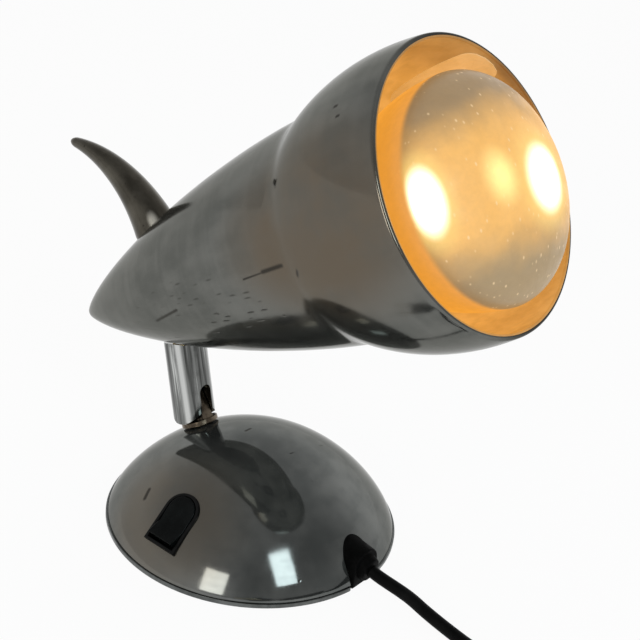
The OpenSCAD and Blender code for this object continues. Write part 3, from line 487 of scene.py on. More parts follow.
# Marks on the polished metal, each with start, end and width, in the piece's own frame
SHADE_MARKS = (
    ((-26.1, -10.5, 11), (-31.6, -8.5, 30.6), 0.9),
    ((-40.6, -4.8, 79.0), (-42.4, -4.1, 100.7), 0.6),
    ((-41.8, -4.3, 90.0), (-42.4, -4.1, 100.7), 1.2),
    ((-38.5, 23, 105), (-39.3, 21.6, 107), 1.4),
    ((-36.6, 37.9, 139.0), (-36.6, 37.9, 139.8), 1.0),
    ((-39.8, 34.6, 141.1), (-39.8, 34.6, 141.9), 0.9),
    ((-45.3, -9, 107.6), (-45.3, -7, 109.6), 1.2),
)
# A bright streak on the stem, painted in as a highlight
STEM_PAINTED_HIGHLIGHT = ((-8.05, -3.42, 27), (-7.65, -4.24, -8), 2)
DOME_MARKS = (
    ((-1.2, 6.8, 38.6), (1.6, 6.8, 38.6), 0.9),
    ((1.6, -14.8, 37.1), (22.2, -15.2, 32.7), 0.5),
    ((-40.4, 20.5, 20.4), (-43.6, 19.5, 18.1), 1.3),
)

# Soft zones, each with centre and radii, in the piece's own frame
# A brownish painted reflection on the shade
SHADE_REFLECTION_ZONE = ((-48, 4, 122), (44, 42, 60))
SHADE_NICK_ZONE = ((-32, -11, 28), (20, 15, 82))
# A brownish painted reflection on the dome
DOME_REFLECTION_ZONE = ((-45, 5, 18), (40, 40, 30))
# A highlight painted on the horn's foot
HORN_PAINTED_HIGHLIGHT = ((-5.6, 27.2, 5.3), (2.6, 6, 3.4))
BULB_GLOW = ((-14.5, 2.4, 175), (6.5, 8, 6))
BULB_SPOTS = (((-37.6, 2.5, 161.8), (5.6, 10.3, 5.6)), ((8, -2.8, 175.8), (10.5, 10.5, 8)))


def polished_look(name, tones, gloss, warm, reflection_zone, marks, nick_zone=None, rim=None):
    """Spun, polished metal: clouds, a brownish zone of painted reflection, turning lines, marks, nicks, and a
    rim darkened at +x as painted shade.
    """
    look = Look(name)
    smudge = look.noise(26, 5, roughness=0.62)
    wipe = look.noise(9, 4, (1.0, 1.0, 0.3))
    streak = look.noise(2.4, 3, SPIN)
    hairline = look.noise(0.9, 2, SPIN)
    tone = look.total((smudge, 0.55), (wipe, 0.3), (streak, 0.15))
    colour = look.mix(look.span(tone, 0.38, 0.62), *tones)
    # A brownish painted reflection within the zone, uneven with the clouds
    unevenness = look.span(smudge, 0.2, 0.6, 0.4, 1.0)
    painted_reflection = look.math("MULTIPLY", look.blob(*reflection_zone, 0.4, 1.0), unevenness)
    colour = look.mix(painted_reflection, colour, warm)
    mark = look.specks(9, 0.03, 0.08, (0.78, 0.84), 0.5)
    for row in marks:
        mark = look.math("MAXIMUM", mark, look.scratch(*row))
    if nick_zone is not None:
        nick_distance, nick_chance = look.cells(1.4, LENGTHWISE, look.unrolled(NICK_SKIN_R))
        nick_size = look.span(nick_chance, 0.3, 1.0, -0.08, 0.2)
        nick = look.span(look.math("SUBTRACT", nick_distance, nick_size), -0.1, 0.06, 0.6, 0.0)
        nick = look.math("MULTIPLY", nick, look.blob(*nick_zone, 0.75, 1.0))
        mark = look.math("MAXIMUM", mark, nick)
    if rim is not None:
        # The rim's edge at +x darkened as painted shade, in the marks' colour
        shaded_far_side = look.span(look.axis("X"), -25, 5, 0.0, 0.9)
        painted_rim_shade = look.math("MULTIPLY", shaded_far_side, look.span(look.axis("Z"), rim - 1.4, rim - 0.7))
        mark = look.math("MAXIMUM", mark, painted_rim_shade)
    waviness = look.bump(look.noise(40, 2), 0.12)
    lines = look.bump(look.total((streak, 1.0), (hairline, 0.5)), 0.0006, waviness)
    return look.finish(
        Base_Color=look.mix(mark, colour, MARK_AND_SHADE_COLOUR),
        Metallic=0.8,
        Specular_Tint=EDGE_TINT,
        Roughness=look.span(smudge, 0.34, 0.7, *gloss),
        Normal=look.bump(look.math("SUBTRACT", 1.0, mark), 0.1, lines),
    )


def bulb_look():
    """Frosted lit glass: two hot spots, a warm glow between them, dimmer greyish zones and specks."""
    look = Look("bulb_frost")
    height = look.axis("Y")
    frost = look.span(look.noise(2.2, 4), 0.3, 0.7, 0.97, 1.03)
    edge = look.math("ADD", height, look.span(look.noise(20, 2), 0.3, 0.7, -2.5, 2.5))
    top = look.span(edge, 12, 32)
    bottom = look.span(edge, -10, -29)
    colour = look.mix(look.noise(18, 3), (0.80, 0.40, 0.060), (0.87, 0.45, 0.085))
    colour = look.mix(top, colour, (0.25, 0.145, 0.047))
    colour = look.mix(bottom, colour, (0.29, 0.185, 0.070))
    shoulder = look.span(look.axis("Z"), BULB_WIDE_Z, BULB_WIDE_Z + 9, 0.6, 0.0)
    colour = look.mix(shoulder, colour, (0.20, 0.105, 0.028))
    speck = look.specks(2.2, 0.08, 0.26, (0.45, 0.7), 0.5, (1.0, 0.6, 1.0))
    colour = look.mix(speck, colour, (0.90, 0.66, 0.36))
    colour = look.mix(look.blob(*BULB_GLOW, 0.1, 1.5), colour, (1.25, 0.95, 0.30))
    for spot in BULB_SPOTS:
        colour = look.mix(look.blob(*spot, 0.6, 2.0), colour, (1.0, 0.66, 0.15))
        colour = look.mix(look.blob(*spot, 0.5, 1.3), colour, (2.6, 2.3, 1.7))
    flare = look.span(look.axis("Z"), BULB_WIDE_Z - 1.5, BULB_WIDE_Z + 1.5, 1.0, 0.0)
    colour = look.mix(flare, colour, (0.72, 0.28, 0.025))
    return look.finish(
        Base_Color=look.mix(look.noise(9, 3), (0.10, 0.095, 0.085), (0.14, 0.135, 0.12)),
        Roughness=look.span(look.noise(6, 3), 0.3, 0.7, 0.34, 0.48),
        Specular_IOR_Level=0.25,
        Emission_Color=colour,
        Emission_Strength=frost,
        Normal=look.bump(look.noise(1.4, 3), 0.05),
    )


def paint_look():
    """Cream paint inside the shade with the bulb's orange light painted in as glow, dimmed as painted shade
    near the rim: clouds, streaks and a faint orange peel.
    """
    look = Look("shade_paint")
    cloud = look.noise(14, 4)
    stain = look.noise(3, 5, (1.0, 1.0, 0.7))
    tone = look.total((cloud, 0.6), (stain, 0.4))
    # The bulb's light on the wall, painted in as glow: stronger deeper in, dimmed as painted shade near the
    # rim above and in the upper far corner
    deep = look.span(look.axis("Z"), 40, 120, 0.3, 1.3)
    upper = look.span(look.axis("Y"), -10, 30)
    corner = look.math("MULTIPLY", look.span(look.axis("X"), 20, 36), look.span(look.axis("Z"), 146, 155))
    painted_dimming = look.math("MULTIPLY", look.span(look.axis("Z"), 122, 142), look.span(upper, 0.0, 1.0, 0.28, 0.6))
    painted_dimming = look.math("MAXIMUM", painted_dimming, look.math("MULTIPLY", look.math("MULTIPLY", upper, corner), 0.9))
    glow = look.math("MULTIPLY", deep, look.math("SUBTRACT", 1.0, painted_dimming))
    colour = look.mix(look.span(cloud, 0.35, 0.65), (0.30, 0.22, 0.12), (0.36, 0.28, 0.17))
    # The rim's edge darkened as painted shade
    rim = look.span(look.axis("Z"), RIM_Z - 1.2, RIM_Z - 0.3)
    return look.finish(
        Base_Color=look.mix(rim, colour, (0.24, 0.115, 0.028)),
        Roughness=look.span(look.noise(5, 3), 0.3, 0.7, 0.38, 0.55),
        Emission_Color=look.mix(look.span(tone, 0.35, 0.65), (0.35, 0.162, 0.029), (0.47, 0.225, 0.047)),
        Emission_Strength=glow,
        Normal=look.bump(look.noise(1.6, 3), 0.05),
    )


def paper_look():
    """Plain paper with the bulb's orange light painted in as glow: fibres, slight yellowing and soft creases.
    """
    look = Look("label_paper")
    fibre = look.noise(0.7, 3, (1.0, 1.0, 0.3))
    cloud = look.noise(11, 4)
    crease = look.span(look.noise(7, 2), 0.47, 0.53)
    return look.finish(
        Base_Color=look.mix(look.span(cloud, 0.3, 0.7), (0.46, 0.40, 0.28), (0.54, 0.49, 0.38)),
        Roughness=look.span(fibre, 0.3, 0.7, 0.6, 0.85),
        # The bulb's light painted in as an orange glow
        Emission_Color=look.mix(look.span(cloud, 0.3, 0.7), (0.37, 0.185, 0.042), (0.44, 0.228, 0.060)),
        Emission_Strength=look.span(fibre, 0.3, 0.7, 0.92, 1.05),
        Normal=look.bump(fibre, 0.03, look.bump(crease, 0.06)),
    )


def chrome_look():
    """Dark chrome with lengthwise bands from nearly black to bright, and a bright streak painted in as a
    highlight.
    """
    look = Look("stem_chrome")
    patch = look.noise(6, 4)
    band = look.noise(3.4, 2, (1.0, 1.0, 0.02))
    line = look.noise(0.9, 3, (1.0, 1.0, 0.03))
    tone = look.total((band, 0.6), (line, 0.4))
    colour = look.mix(look.span(tone, 0.38, 0.52), (0.05, 0.052, 0.05), (0.17, 0.175, 0.17))
    colour = look.mix(look.span(tone, 0.55, 0.62), colour, (0.50, 0.51, 0.50))
    colour = look.mix(look.span(patch, 0.6, 0.75, 0.0, 0.5), colour, (0.10, 0.105, 0.10))
    return look.finish(
        Base_Color=look.mix(look.scratch(*STEM_PAINTED_HIGHLIGHT), colour, (0.62, 0.63, 0.62)),
        Metallic=1.0,
        Roughness=look.span(patch, 0.35, 0.7, 0.06, 0.2),
        Normal=look.bump(line, 0.003, look.bump(look.noise(9, 2), 0.04)),
    )


def pewter_look():
    """Dark cast metal: mottled, with lengthwise file marks, small pits and a painted highlight at its foot.
    """
    look = Look("horn_pewter")
    mottle = look.noise(7, 5, (1.0, 0.5, 0.5), roughness=0.6)
    file_mark = look.noise(1.5, 3, (1.0, 0.12, 0.12))
    pit = look.specks(2.6, 0.08, 0.24, (0.7, 0.76))
    colour = look.mix(look.span(mottle, 0.34, 0.66), (0.060, 0.055, 0.044), (0.100, 0.092, 0.075))
    colour = look.mix(look.math("MULTIPLY", pit, 0.7), colour, (0.02, 0.018, 0.015))
    return look.finish(
        Base_Color=look.mix(look.blob(*HORN_PAINTED_HIGHLIGHT, 0.1, 1.0), colour, (0.80, 0.77, 0.68)),
        Metallic=1.0,
        Roughness=look.span(mottle, 0.3, 0.7, 0.14, 0.26),
        Normal=look.bump(look.math("SUBTRACT", file_mark, pit), 0.03),
    )


def cord_look():
    """Black mains sheath: slightly dusty, with a very fine grain."""
    look = Look("cord_black", False)
    dust = look.noise(12, 4)
    return look.finish(
        Base_Color=look.mix(look.span(dust, 0.35, 0.7), grey(0.003), grey(0.007)),
        Specular_IOR_Level=0.04,
        Roughness=look.span(look.noise(3, 3), 0.3, 0.7, 0.38, 0.55),
        Normal=look.bump(look.noise(0.6, 2), 0.02),
    )


# Plain finishes: dark and light colour, metallic, span of roughness, grain, its depth, specular level
PLAIN_FINISHES = {
    "plate_steel": ((0.085, 0.09, 0.088), (0.15, 0.158, 0.155), 1.0, (0.22, 0.4), 2.2, 0.02),
    "knuckle_metal": ((0.05, 0.039, 0.028), (0.20, 0.162, 0.12), 1.0, (0.2, 0.45), 1.2, 0.05),
    "pin_metal": ((0.50, 0.44, 0.30), (0.66, 0.60, 0.45), 1.0, (0.14, 0.3), 1.2, 0.006),
    "switch_black": (grey(0.003), grey(0.006), 0.0, (0.3, 0.45), 0.9, 0.02, 0.12),
    "rocker_black": ((0.0025, 0.003, 0.003), (0.005, 0.006, 0.006), 0.0, (0.16, 0.32), 0.8, 0.012, 0.08),
    "gland_black": (grey(0.0015), grey(0.004), 0.0, (0.42, 0.6), 0.9, 0.03, 0.02),
    "tie_black": (grey(0.02), grey(0.04), 0.0, (0.5, 0.7), 0.7, 0.04),
    "plug_black": (grey(0.008), grey(0.016), 0.0, (0.36, 0.52), 0.8, 0.03),
}
LOOKS = {
    "dome_metal": polished_look(
        "dome_metal",
        tones=((0.108, 0.114, 0.111), (0.165, 0.170, 0.164)),
        gloss=(0.05, 0.13),
        warm=(0.150, 0.136, 0.114),
        reflection_zone=DOME_REFLECTION_ZONE,
        marks=DOME_MARKS,
    ),
    "shade_metal": polished_look(
        "shade_metal",
        tones=((0.098, 0.101, 0.093), (0.152, 0.153, 0.142)),
        gloss=(0.09, 0.18),
        warm=(0.128, 0.104, 0.077),
        reflection_zone=SHADE_REFLECTION_ZONE,
        marks=SHADE_MARKS,
        nick_zone=SHADE_NICK_ZONE,
        rim=RIM_Z,
    ),
    "bulb_frost": bulb_look(),
    "shade_paint": paint_look(),
    "label_paper": paper_look(),
    "stem_chrome": chrome_look(),
    "horn_pewter": pewter_look(),
    "cord_black": cord_look(),
}
for name, finish in PLAIN_FINISHES.items():
    LOOKS[name] = finish_look(name, *finish)

# Solids that are shown as they are, mostly inside the lamp: name of the look, its finish, then its nodes
STEEL_NODES = ("plate_screws", "clamp_screws", "swivel_washer", "pivot_screw", "horn_screw", "holder_screws")
BRASS_NODES = ("switch_terminals", "swivel_nut", "stem_nipple", "nipple_nut", "holder_thread")
SHOWN_SOLIDS = (
    (
        "screw_steel",
        ((0.42, 0.42, 0.41), (0.60, 0.60, 0.58), 1.0, (0.2, 0.38), 1.2, 0.01),
        (*STEEL_NODES, "holder_bracket"),
    ),
    (
        "terminal_brass",
        ((0.50, 0.36, 0.13), (0.70, 0.52, 0.22), 1.0, (0.2, 0.4), 1.2, 0.01),
        (*BRASS_NODES, "holder_contact"),
    ),
    (
        "holder_porcelain",
        ((0.74, 0.70, 0.62), (0.84, 0.81, 0.75), 0.0, (0.15, 0.3), 1.6, 0.01),
        ("holder_core",),
    ),
    (
        "clamp_plastic",
        ((0.66, 0.62, 0.52), (0.75, 0.72, 0.63), 0.0, (0.35, 0.5), 0.9, 0.02),
        ("cord_clamp", "terminal_block"),
    ),
    (
        "lead_insulation",
        ((0.20, 0.10, 0.05), (0.30, 0.16, 0.08), 0.0, (0.4, 0.55), 0.8, 0.02),
        ("base_leads", "head_leads"),
    ),
    (
        "holder_moulding",
        ((0.018, 0.014, 0.012), (0.035, 0.028, 0.023), 0.0, (0.25, 0.45), 1.2, 0.02),
        ("holder_body", "bulb_insulator"),
    ),
    (
        "cap_metal",
        ((0.50, 0.50, 0.48), (0.66, 0.66, 0.63), 1.0, (0.25, 0.4), 1.2, 0.01),
        ("bulb_cap", "bulb_contact"),
    ),
    ("mount_glass", ((0.55, 0.60, 0.60), (0.66, 0.70, 0.70), 0.0, (0.05, 0.15), 2.0, 0.005), ("bulb_mount",)),
    ("filament_metal", (grey(0.20), (0.32, 0.32, 0.31), 1.0, (0.3, 0.45), 0.5, 0.005), ("bulb_filament",)),
)
for name, finish, nodes in SHOWN_SOLIDS:
    look = finish_look(name, *finish, own_frame=False)
    for node in nodes:
        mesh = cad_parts[node].data
        mesh.materials.clear()
        mesh.materials.append(look)


# Mesh tools


def circle_points(radius, height, count):
    if radius < 1e-6:
        return [Vector((0, 0, height))]
    step = 2 * math.pi / count
    return [Vector((radius * math.cos(i * step), radius * math.sin(i * step), height)) for i in range(count)]


def join_rings(bm, first, second):
    """Faces between two closed rings of vertices; a ring of one vertex is a tip."""
    count = max(len(first), len(second))
    for i in range(count):
        j = (i + 1) % count
        corners = []
        for corner in (
            first[i % len(first)],
            first[j % len(first)],
            second[j % len(second)],
            second[i % len(second)],
        ):
            if corner not in corners:
                corners.append(corner)
        bm.faces.new(corners)


def loft(rings, caps=True, closed=False):
    """A skin over rings of points that all have the same count, with flat ends where caps is set."""
    bm = bmesh.new()
    made = [[bm.verts.new(point) for point in ring] for ring in rings]
    for first, second in zip(made, made[1:]):
        join_rings(bm, first, second)
    if closed:
        join_rings(bm, made[-1], made[0])
    elif caps:
        for ring in (made[0], made[-1]):
            if len(ring) > 2:
                bm.faces.new(ring)
    return bm


def lathe(profile, count, closed=False):
    """A body of revolution about z from (radius, height) pairs."""
    return loft([circle_points(r, z, count) for r, z in profile], True, closed)


def prism(outline, low, high):
    """An outline of (x, y) pairs, raised from low to high."""
    return loft([[Vector((x, y, z)) for x, y in outline] for z in (low, high)])


def placed(bm, place):
    bmesh.ops.transform(bm, matrix=place, verts=bm.verts)
    return bm


def box_mesh(low, high):
    outline = ((low[0], low[1]), (high[0], low[1]), (high[0], high[1]), (low[0], high[1]))
    return prism(outline, low[2], high[2])


def rod(radius, low, high, place=AT_WORLD, count=48):
    return placed(lathe(((radius, low), (radius, high)), count), place)


def scratch_object(bm):
    bmesh.ops.recalc_face_normals(bm, faces=bm.faces)
    return add_object("scratch", mesh_from(bm, "scratch"))


def carve(bm, operation, *tools):
    """The mesh after a boolean with each of the tools, which are used up."""
    target = scratch_object(bm)
    cutters = [scratch_object(tool) for tool in tools]
    for cutter in cutters:
        modifier = target.modifiers.new("carve", "BOOLEAN")
        modifier.operation = operation
        modifier.solver = "EXACT"
        modifier.object = cutter
    evaluated = target.evaluated_get(bpy.context.evaluated_depsgraph_get())
    result = bmesh.new()
    result.from_mesh(evaluated.to_mesh())
    evaluated.to_mesh_clear()
    for scratch in (target, *cutters):
        bpy.data.meshes.remove(scratch.data)
    return result


def soften(bm, width, segments=2, least_angle=35):
    """Rounds every edge that is sharper than the angle."""
    bmesh.ops.remove_doubles(bm, verts=bm.verts, dist=0.01)
    limit = math.radians(least_angle)
    edges = [edge for edge in bm.edges if edge.is_manifold and edge.calc_face_angle(0) > limit]
    bmesh.ops.bevel(
        bm, geom=edges, offset=width, segments=segments, profile=0.5, affect="EDGES", clamp_overlap=True
    )
    return bm


def dress(name, bm, place, body, slot, nodes, looks=None, sharp=38, weighted=False):
    """Finishes a mesh as a piece in metres that rides on a body and stands for the nodes."""
    bmesh.ops.recalc_face_normals(bm, faces=bm.faces)
    mesh = mesh_from(bm, name)
    local = [value for vertex in mesh.vertices for value in vertex.co]
    mesh.attributes.new("local", "FLOAT_VECTOR", "POINT").data.foreach_set("vector", local)
    mesh.transform(Matrix.Scale(MM, 4) @ place)
    mesh.shade_smooth()
    mesh.set_sharp_from_angle(angle=math.radians(sharp))
    for look_name in looks or (slot,):
        mesh.materials.append(LOOKS[look_name])
    made = add_object(name, mesh)
    if weighted:
        made.modifiers.new("normals", "WEIGHTED_NORMAL").keep_sharp = True
    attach(made, body)
    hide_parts(*nodes)
    return made


# Cord: straight out of the gland, down to the floor, into a tied coil of two layers, and to the plug


def curve_through(points, steps):
    """A smooth curve through the points, with so many steps between each two."""
    last = len(points) - 1
    made = []
    for i in range(last):
        a, b, c, d = points[max(i - 1, 0)], points[i], points[i + 1], points[min(i + 2, last)]
        for k in range(steps):
            t = k / steps
            bend = (2 * a - 5 * b + 4 * c - d) * t**2 + (3 * b - a - 3 * c + d) * t**3
            made.append(0.5 * (2 * b + (c - a) * t + bend))
    return made + [points[last]]


def coil_point(turns):
    climb = min(1, max(0, (turns - COIL_TURNS) / COIL_CLIMB))
    if turns < COIL_TURNS:
        radius = COIL_IN_R + COIL_PITCH * (COIL_TURNS - turns)
    elif turns > COIL_TURNS + COIL_CLIMB:
        radius = COIL_IN_R + COIL_PITCH * (turns - COIL_TURNS - COIL_CLIMB)
    else:
        radius = COIL_IN_R - COIL_PITCH * COIL_CLIMB / math.pi * sin_deg(180 * climb)
    rise = COIL_PITCH * climb * climb * (3 - 2 * climb)
    return COIL_CENTER + Vector((*on_circle(radius, -360 * turns), COIL_LOW_Z + rise))


ON = Vector((0, CORD_D, 0))
GLAND_RUN = Vector((0, -cos_deg(GLAND_DROOP), -sin_deg(GLAND_DROOP)))
GLAND_TIP = Vector((0, -GLAND_REACH, GLAND_Z)) + GLAND_NOSE * GLAND_RUN
COIL_START = COIL_CENTER + Vector((COIL_OUT_R, 0, COIL_LOW_Z))
COIL_END = COIL_CENTER + Vector((-COIL_OUT_R, 0, COIL_LOW_Z + COIL_PITCH))
PLUG_BACK = COIL_CENTER + Vector((-COIL_OUT_R, PLUG_RUN, PLUG_Z))
FREE_ROUTE = [
    GLAND_TIP,
    GLAND_TIP + CORD_D * GLAND_RUN,
    Vector((0, -80, 5.4)),
    Vector((-1, -90, 4)),
    Vector((-2, -100, 3)),
    Vector((-3.5, -112, 2.7)),
    Vector((-4.8, -126, 3)),
    COIL_START + 3 * ON,
    COIL_START + 2 * ON,
    COIL_START + ON,
]
TAIL_ROUTE = [COIL_END + ON, COIL_END + 2 * ON, PLUG_BACK - 2 * ON, PLUG_BACK - ON, PLUG_BACK]


def add_cord():
    total = 2 * COIL_TURNS + COIL_CLIMB
    coil = [coil_point(i / COIL_RINGS) for i in range(int(total * COIL_RINGS) + 1)]
    points = curve_through(FREE_ROUTE, 4) + coil + curve_through(TAIL_ROUTE, 4)
    data = bpy.data.curves.new("cord", "CURVE")
    data.dimensions = "3D"
    data.bevel_depth = CORD_D / 2 * MM
    data.bevel_resolution = 6
    data.use_fill_caps = True
    line = data.splines.new("POLY")
    line.points.add(len(points) - 1)
    for made, point in zip(line.points, points):
        made.co = (*(point * MM), 1)
    line.use_smooth = True
    data.materials.append(LOOKS["cord_black"])
    cord = add_object("cord", data)
    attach(cord, "base")
    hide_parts("cord_free", "cord_coil", "cord_tail")
    return cord


def rounded_box_points(width, height, corner, steps):
    """Points round a box with rounded corners, in the plane of its width and height."""
    made = []
    for quarter, (sx, sy) in enumerate(((1, 1), (-1, 1), (-1, -1), (1, -1))):
        for i in range(steps + 1):
            angle = 90 * (quarter + i / steps)
            x = sx * (width / 2 - corner) + corner * cos_deg(angle)
            y = sy * (height / 2 - corner) + corner * sin_deg(angle)
            made.append((x, y))
    return made


def add_tie():
    low = COIL_LOW_Z - CORD_D / 2 - TIE_GAP
    high = COIL_LOW_Z + COIL_PITCH + CORD_D / 2 + TIE_GAP
    near = COIL_IN_R - COIL_PITCH / 2 - CORD_D / 2 - TIE_GAP
    far = COIL_OUT_R + CORD_D / 2 + TIE_GAP
    inner = rounded_box_points(far - near, high - low, TIE_CORNER, 6)
    outer = rounded_box_points(far - near + 2 * TIE_T, high - low + 2 * TIE_T, TIE_CORNER + TIE_T, 6)
    middle = Vector((COIL_CENTER.x, COIL_CENTER.y - (near + far) / 2, (low + high) / 2))
    edge = TIE_W / 2 - TIE_EDGE
    rings = []
    for (x1, y1), (x2, y2) in zip(inner, outer):
        section = []
        between = ((x1 + x2) / 2, (y1 + y2) / 2)
        for side, (x, y) in (
            (-edge, (x1, y1)),
            (edge, (x1, y1)),
            (TIE_W / 2, between),
            (edge, (x2, y2)),
            (-edge, (x2, y2)),
            (-TIE_W / 2, between),
        ):
            section.append(middle + Vector((side, x, y)))
        rings.append(section)
    return dress("cord_band", loft(rings, False, True), AT_WORLD, "base", "tie_black", ("cord_tie",))


# Plug from its back to its face: distance along, width and height
PLUG_SECTIONS = (
    (0.0, 6.4, 6.4),
    (0.6, 7.2, 7.2),
    (2.6, 7.6, 7.6),
    (3.0, 6.9, 6.9),
    (3.8, 6.9, 6.9),
    (4.2, 8.4, 8.4),
    (6.0, 9.2, 9.2),
    (6.4, 8.4, 8.4),
    (7.2, 8.4, 8.4),
    (7.6, 10.0, 10.0),
    (9.0, 11.0, 11.0),
    (10.5, 15.0, 12.2),
    (13.0, 21.0, 12.9),
    (16.0, 25.0, 13.0),
    (19.0, 26.0, 13.0),
    (33.5, 26.0, 13.0),
    (35.0, 25.4, 12.4),
    (35.8, 24.0, 11.0),
    (36.0, 22.4, 9.4),
)


def add_plug():
    rings = []
    for along, width, height in PLUG_SECTIONS:
        corner = min(width, height) / 2 - 0.01
        outline = rounded_box_points(width, height, corner, 8)
        rings.append([PLUG_BACK + Vector((x, along, y)) for x, y in outline])
    return dress("plug", loft(rings), AT_WORLD, "base", "plug_black", ("plug_body",))


def add_plug_pins():
    tip = 1.2
    root = PLUG_LEN - 0.6
    end = PLUG_LEN + PLUG_PIN_LEN
    profile = ((PLUG_PIN_R, root), (PLUG_PIN_R, end - tip))
    turns = (22, 45, 68, 90)
    tips = [(PLUG_PIN_R - tip + tip * cos_deg(angle), end - tip + tip * sin_deg(angle)) for angle in turns]
    pins = bmesh.new()
    for side in (-1, 1):
        pin = placed(lathe((*profile, *tips), 32), turn(-90, "X"))
        placed(pin, move(*(PLUG_BACK + Vector((side * PLUG_PIN_PITCH / 2, 0, 0)))))
        mesh = mesh_from(pin, "pin")
        pins.from_mesh(mesh)
        bpy.data.meshes.remove(mesh)
    return dress("plug_prongs", pins, AT_WORLD, "base", "pin_metal", ("plug_pins",))


cord = add_cord()
add_tie()
add_plug()
add_plug_pins()


# Base


def arch_outline(length, width, steps=28):
    """A straight lower end at -x and a round upper end at +x."""
    middle = length / 2 - width / 2
    made = [(-length / 2, -width / 2)]
    for i in range(steps + 1):
        angle = -90 + 180 * i / steps
        made.append((middle + width / 2 * cos_deg(angle), width / 2 * sin_deg(angle)))
    made.append((-length / 2, width / 2))
    return made


def arch_ring(length, width, height):
    return [Vector((x, y, height)) for x, y in arch_outline(length, width)]


def dome_line(edge_r, crown_h, steps):
    made = []
    for i in range(steps + 1):
        r = edge_r * sin_deg(90 * i / steps)
        made.append((r, PLATE_T + dome_rise(r, edge_r, crown_h)))
    return made


def add_plate():
    profile = (
        (0, 0),
        (BASE_R - PLATE_EDGE, 0),
        (BASE_R - PLATE_EDGE * 0.3, PLATE_EDGE * 0.3),
        (BASE_R, PLATE_EDGE),
        (BASE_R, PLATE_T - PLATE_EDGE),
        (BASE_R - PLATE_EDGE * 0.3, PLATE_T - PLATE_EDGE * 0.3),
        (BASE_R - PLATE_EDGE, PLATE_T),
        (0, PLATE_T),
    )
    over = 1
    notch_half = PLATE_NOTCH_W / 2
    cuts = [box_mesh((-notch_half, -2 * BASE_R, -over), (notch_half, -PLATE_NOTCH_R, PLATE_T + over))]
    for x in (-WALL_HOLE_X, WALL_HOLE_X):
        cuts.append(rod(WALL_HOLE_R, -over, PLATE_T + over, move(x, 0, 0)))
    for x, y in CLAMP_SCREW_AT:
        cuts.append(rod(PLATE_SCREW_HOLE_R, -over, PLATE_T + over, move(x, y, 0)))
    for angle in PLATE_SCREW_TURNS:
        place = turn(angle, "Z") @ move(PLATE_SCREW_R, 0, 0)
        cuts.append(rod(PLATE_SCREW_HOLE_R, -over, PLATE_T + over, place))
        cuts.append(rod(PLATE_SCREW_HEAD_R, -over, PLATE_SCREW_HEAD_H, place))
    plate = carve(lathe(profile, 180), "DIFFERENCE", *cuts)
    dress("plate", plate, AT_WORLD, "base", "plate_steel", ("base_plate",), weighted=True)


def add_dome():
    outer = dome_line(DOME_R, DOME_H, 96)
    inner = dome_line(DOME_R - DOME_WALL, DOME_H - DOME_WALL, 40)
    shell = lathe(outer + inner[::-1], 192)
    gap = 0.1
    deep = 2 * SWITCH_DEPTH
    notch_w = GLAND_D + 4 * gap
    cuts = (
        rod(TUBE_R + gap, -deep, deep, AT_FOOT),
        placed(prism(arch_outline(SWITCH_LEN + 2 * gap, SWITCH_W + 2 * gap), -deep, deep), AT_SWITCH),
        rod(notch_w / 2, -GLAND_NECK, 2 * GLAND_NECK, AT_GLAND, 64),
        box_mesh(
            (-notch_w / 2, -2 * BASE_R, PLATE_T - 1), (notch_w / 2, -GLAND_REACH + GLAND_NECK, GLAND_Z)
        ),
    )
    dome = carve(shell, "DIFFERENCE", *cuts)
    dress("dome", dome, AT_WORLD, "base", "dome_metal", ("base_dome",), weighted=True)


def add_switch():
    edge = 0.35
    rows = (
        (0, -SWITCH_DEPTH),
        (0, CASE_RISE - edge),
        (edge * 0.6, CASE_RISE - edge * 0.3),
        (2 * edge, CASE_RISE),
        (2 * SWITCH_WALL - edge, CASE_RISE),
        (2 * SWITCH_WALL, CASE_RISE - edge),
        (2 * SWITCH_WALL, SWITCH_WALL - SWITCH_DEPTH),
    )
    case = loft([arch_ring(SWITCH_LEN - less, SWITCH_W - less, height) for less, height in rows])
    dress("switch_housing", case, AT_SWITCH, "base", "switch_black", ("switch_case",), weighted=True)

    end = ROCKER_LEN / 2 + 1
    top = -ROCKER_AXIS_Z
    foot = TRUNNION_R + ROCKER_FOOT_SPREAD
    side_view = (
        (-end, top + ROCKER_FACE),
        (ROCKER_CREASE, top),
        (end, top + ROCKER_FACE),
        (end, ROCKER_END_Z),
        (foot, ROCKER_FOOT),
        (-foot, ROCKER_FOOT),
        (-end, ROCKER_END_Z),
    )
    wedge = placed(prism(side_view, -SWITCH_W, SWITCH_W), turn(90, "X"))
    blank = prism(arch_outline(ROCKER_LEN, ROCKER_W), ROCKER_FOOT, ROCKER_BLANK_Z)
    rocker = soften(carve(blank, "INTERSECT", wedge), ROCKER_ROUND, 3)
    axle = SWITCH_W / 2 - AXLE_GAP
    rocker = carve(rocker, "UNION", rod(TRUNNION_R, -axle, axle, turn(90, "X"), 24))
    dress("switch_key", rocker, AT_ROCKER, "rocker", "rocker_black", ("switch_rocker",), weighted=True)


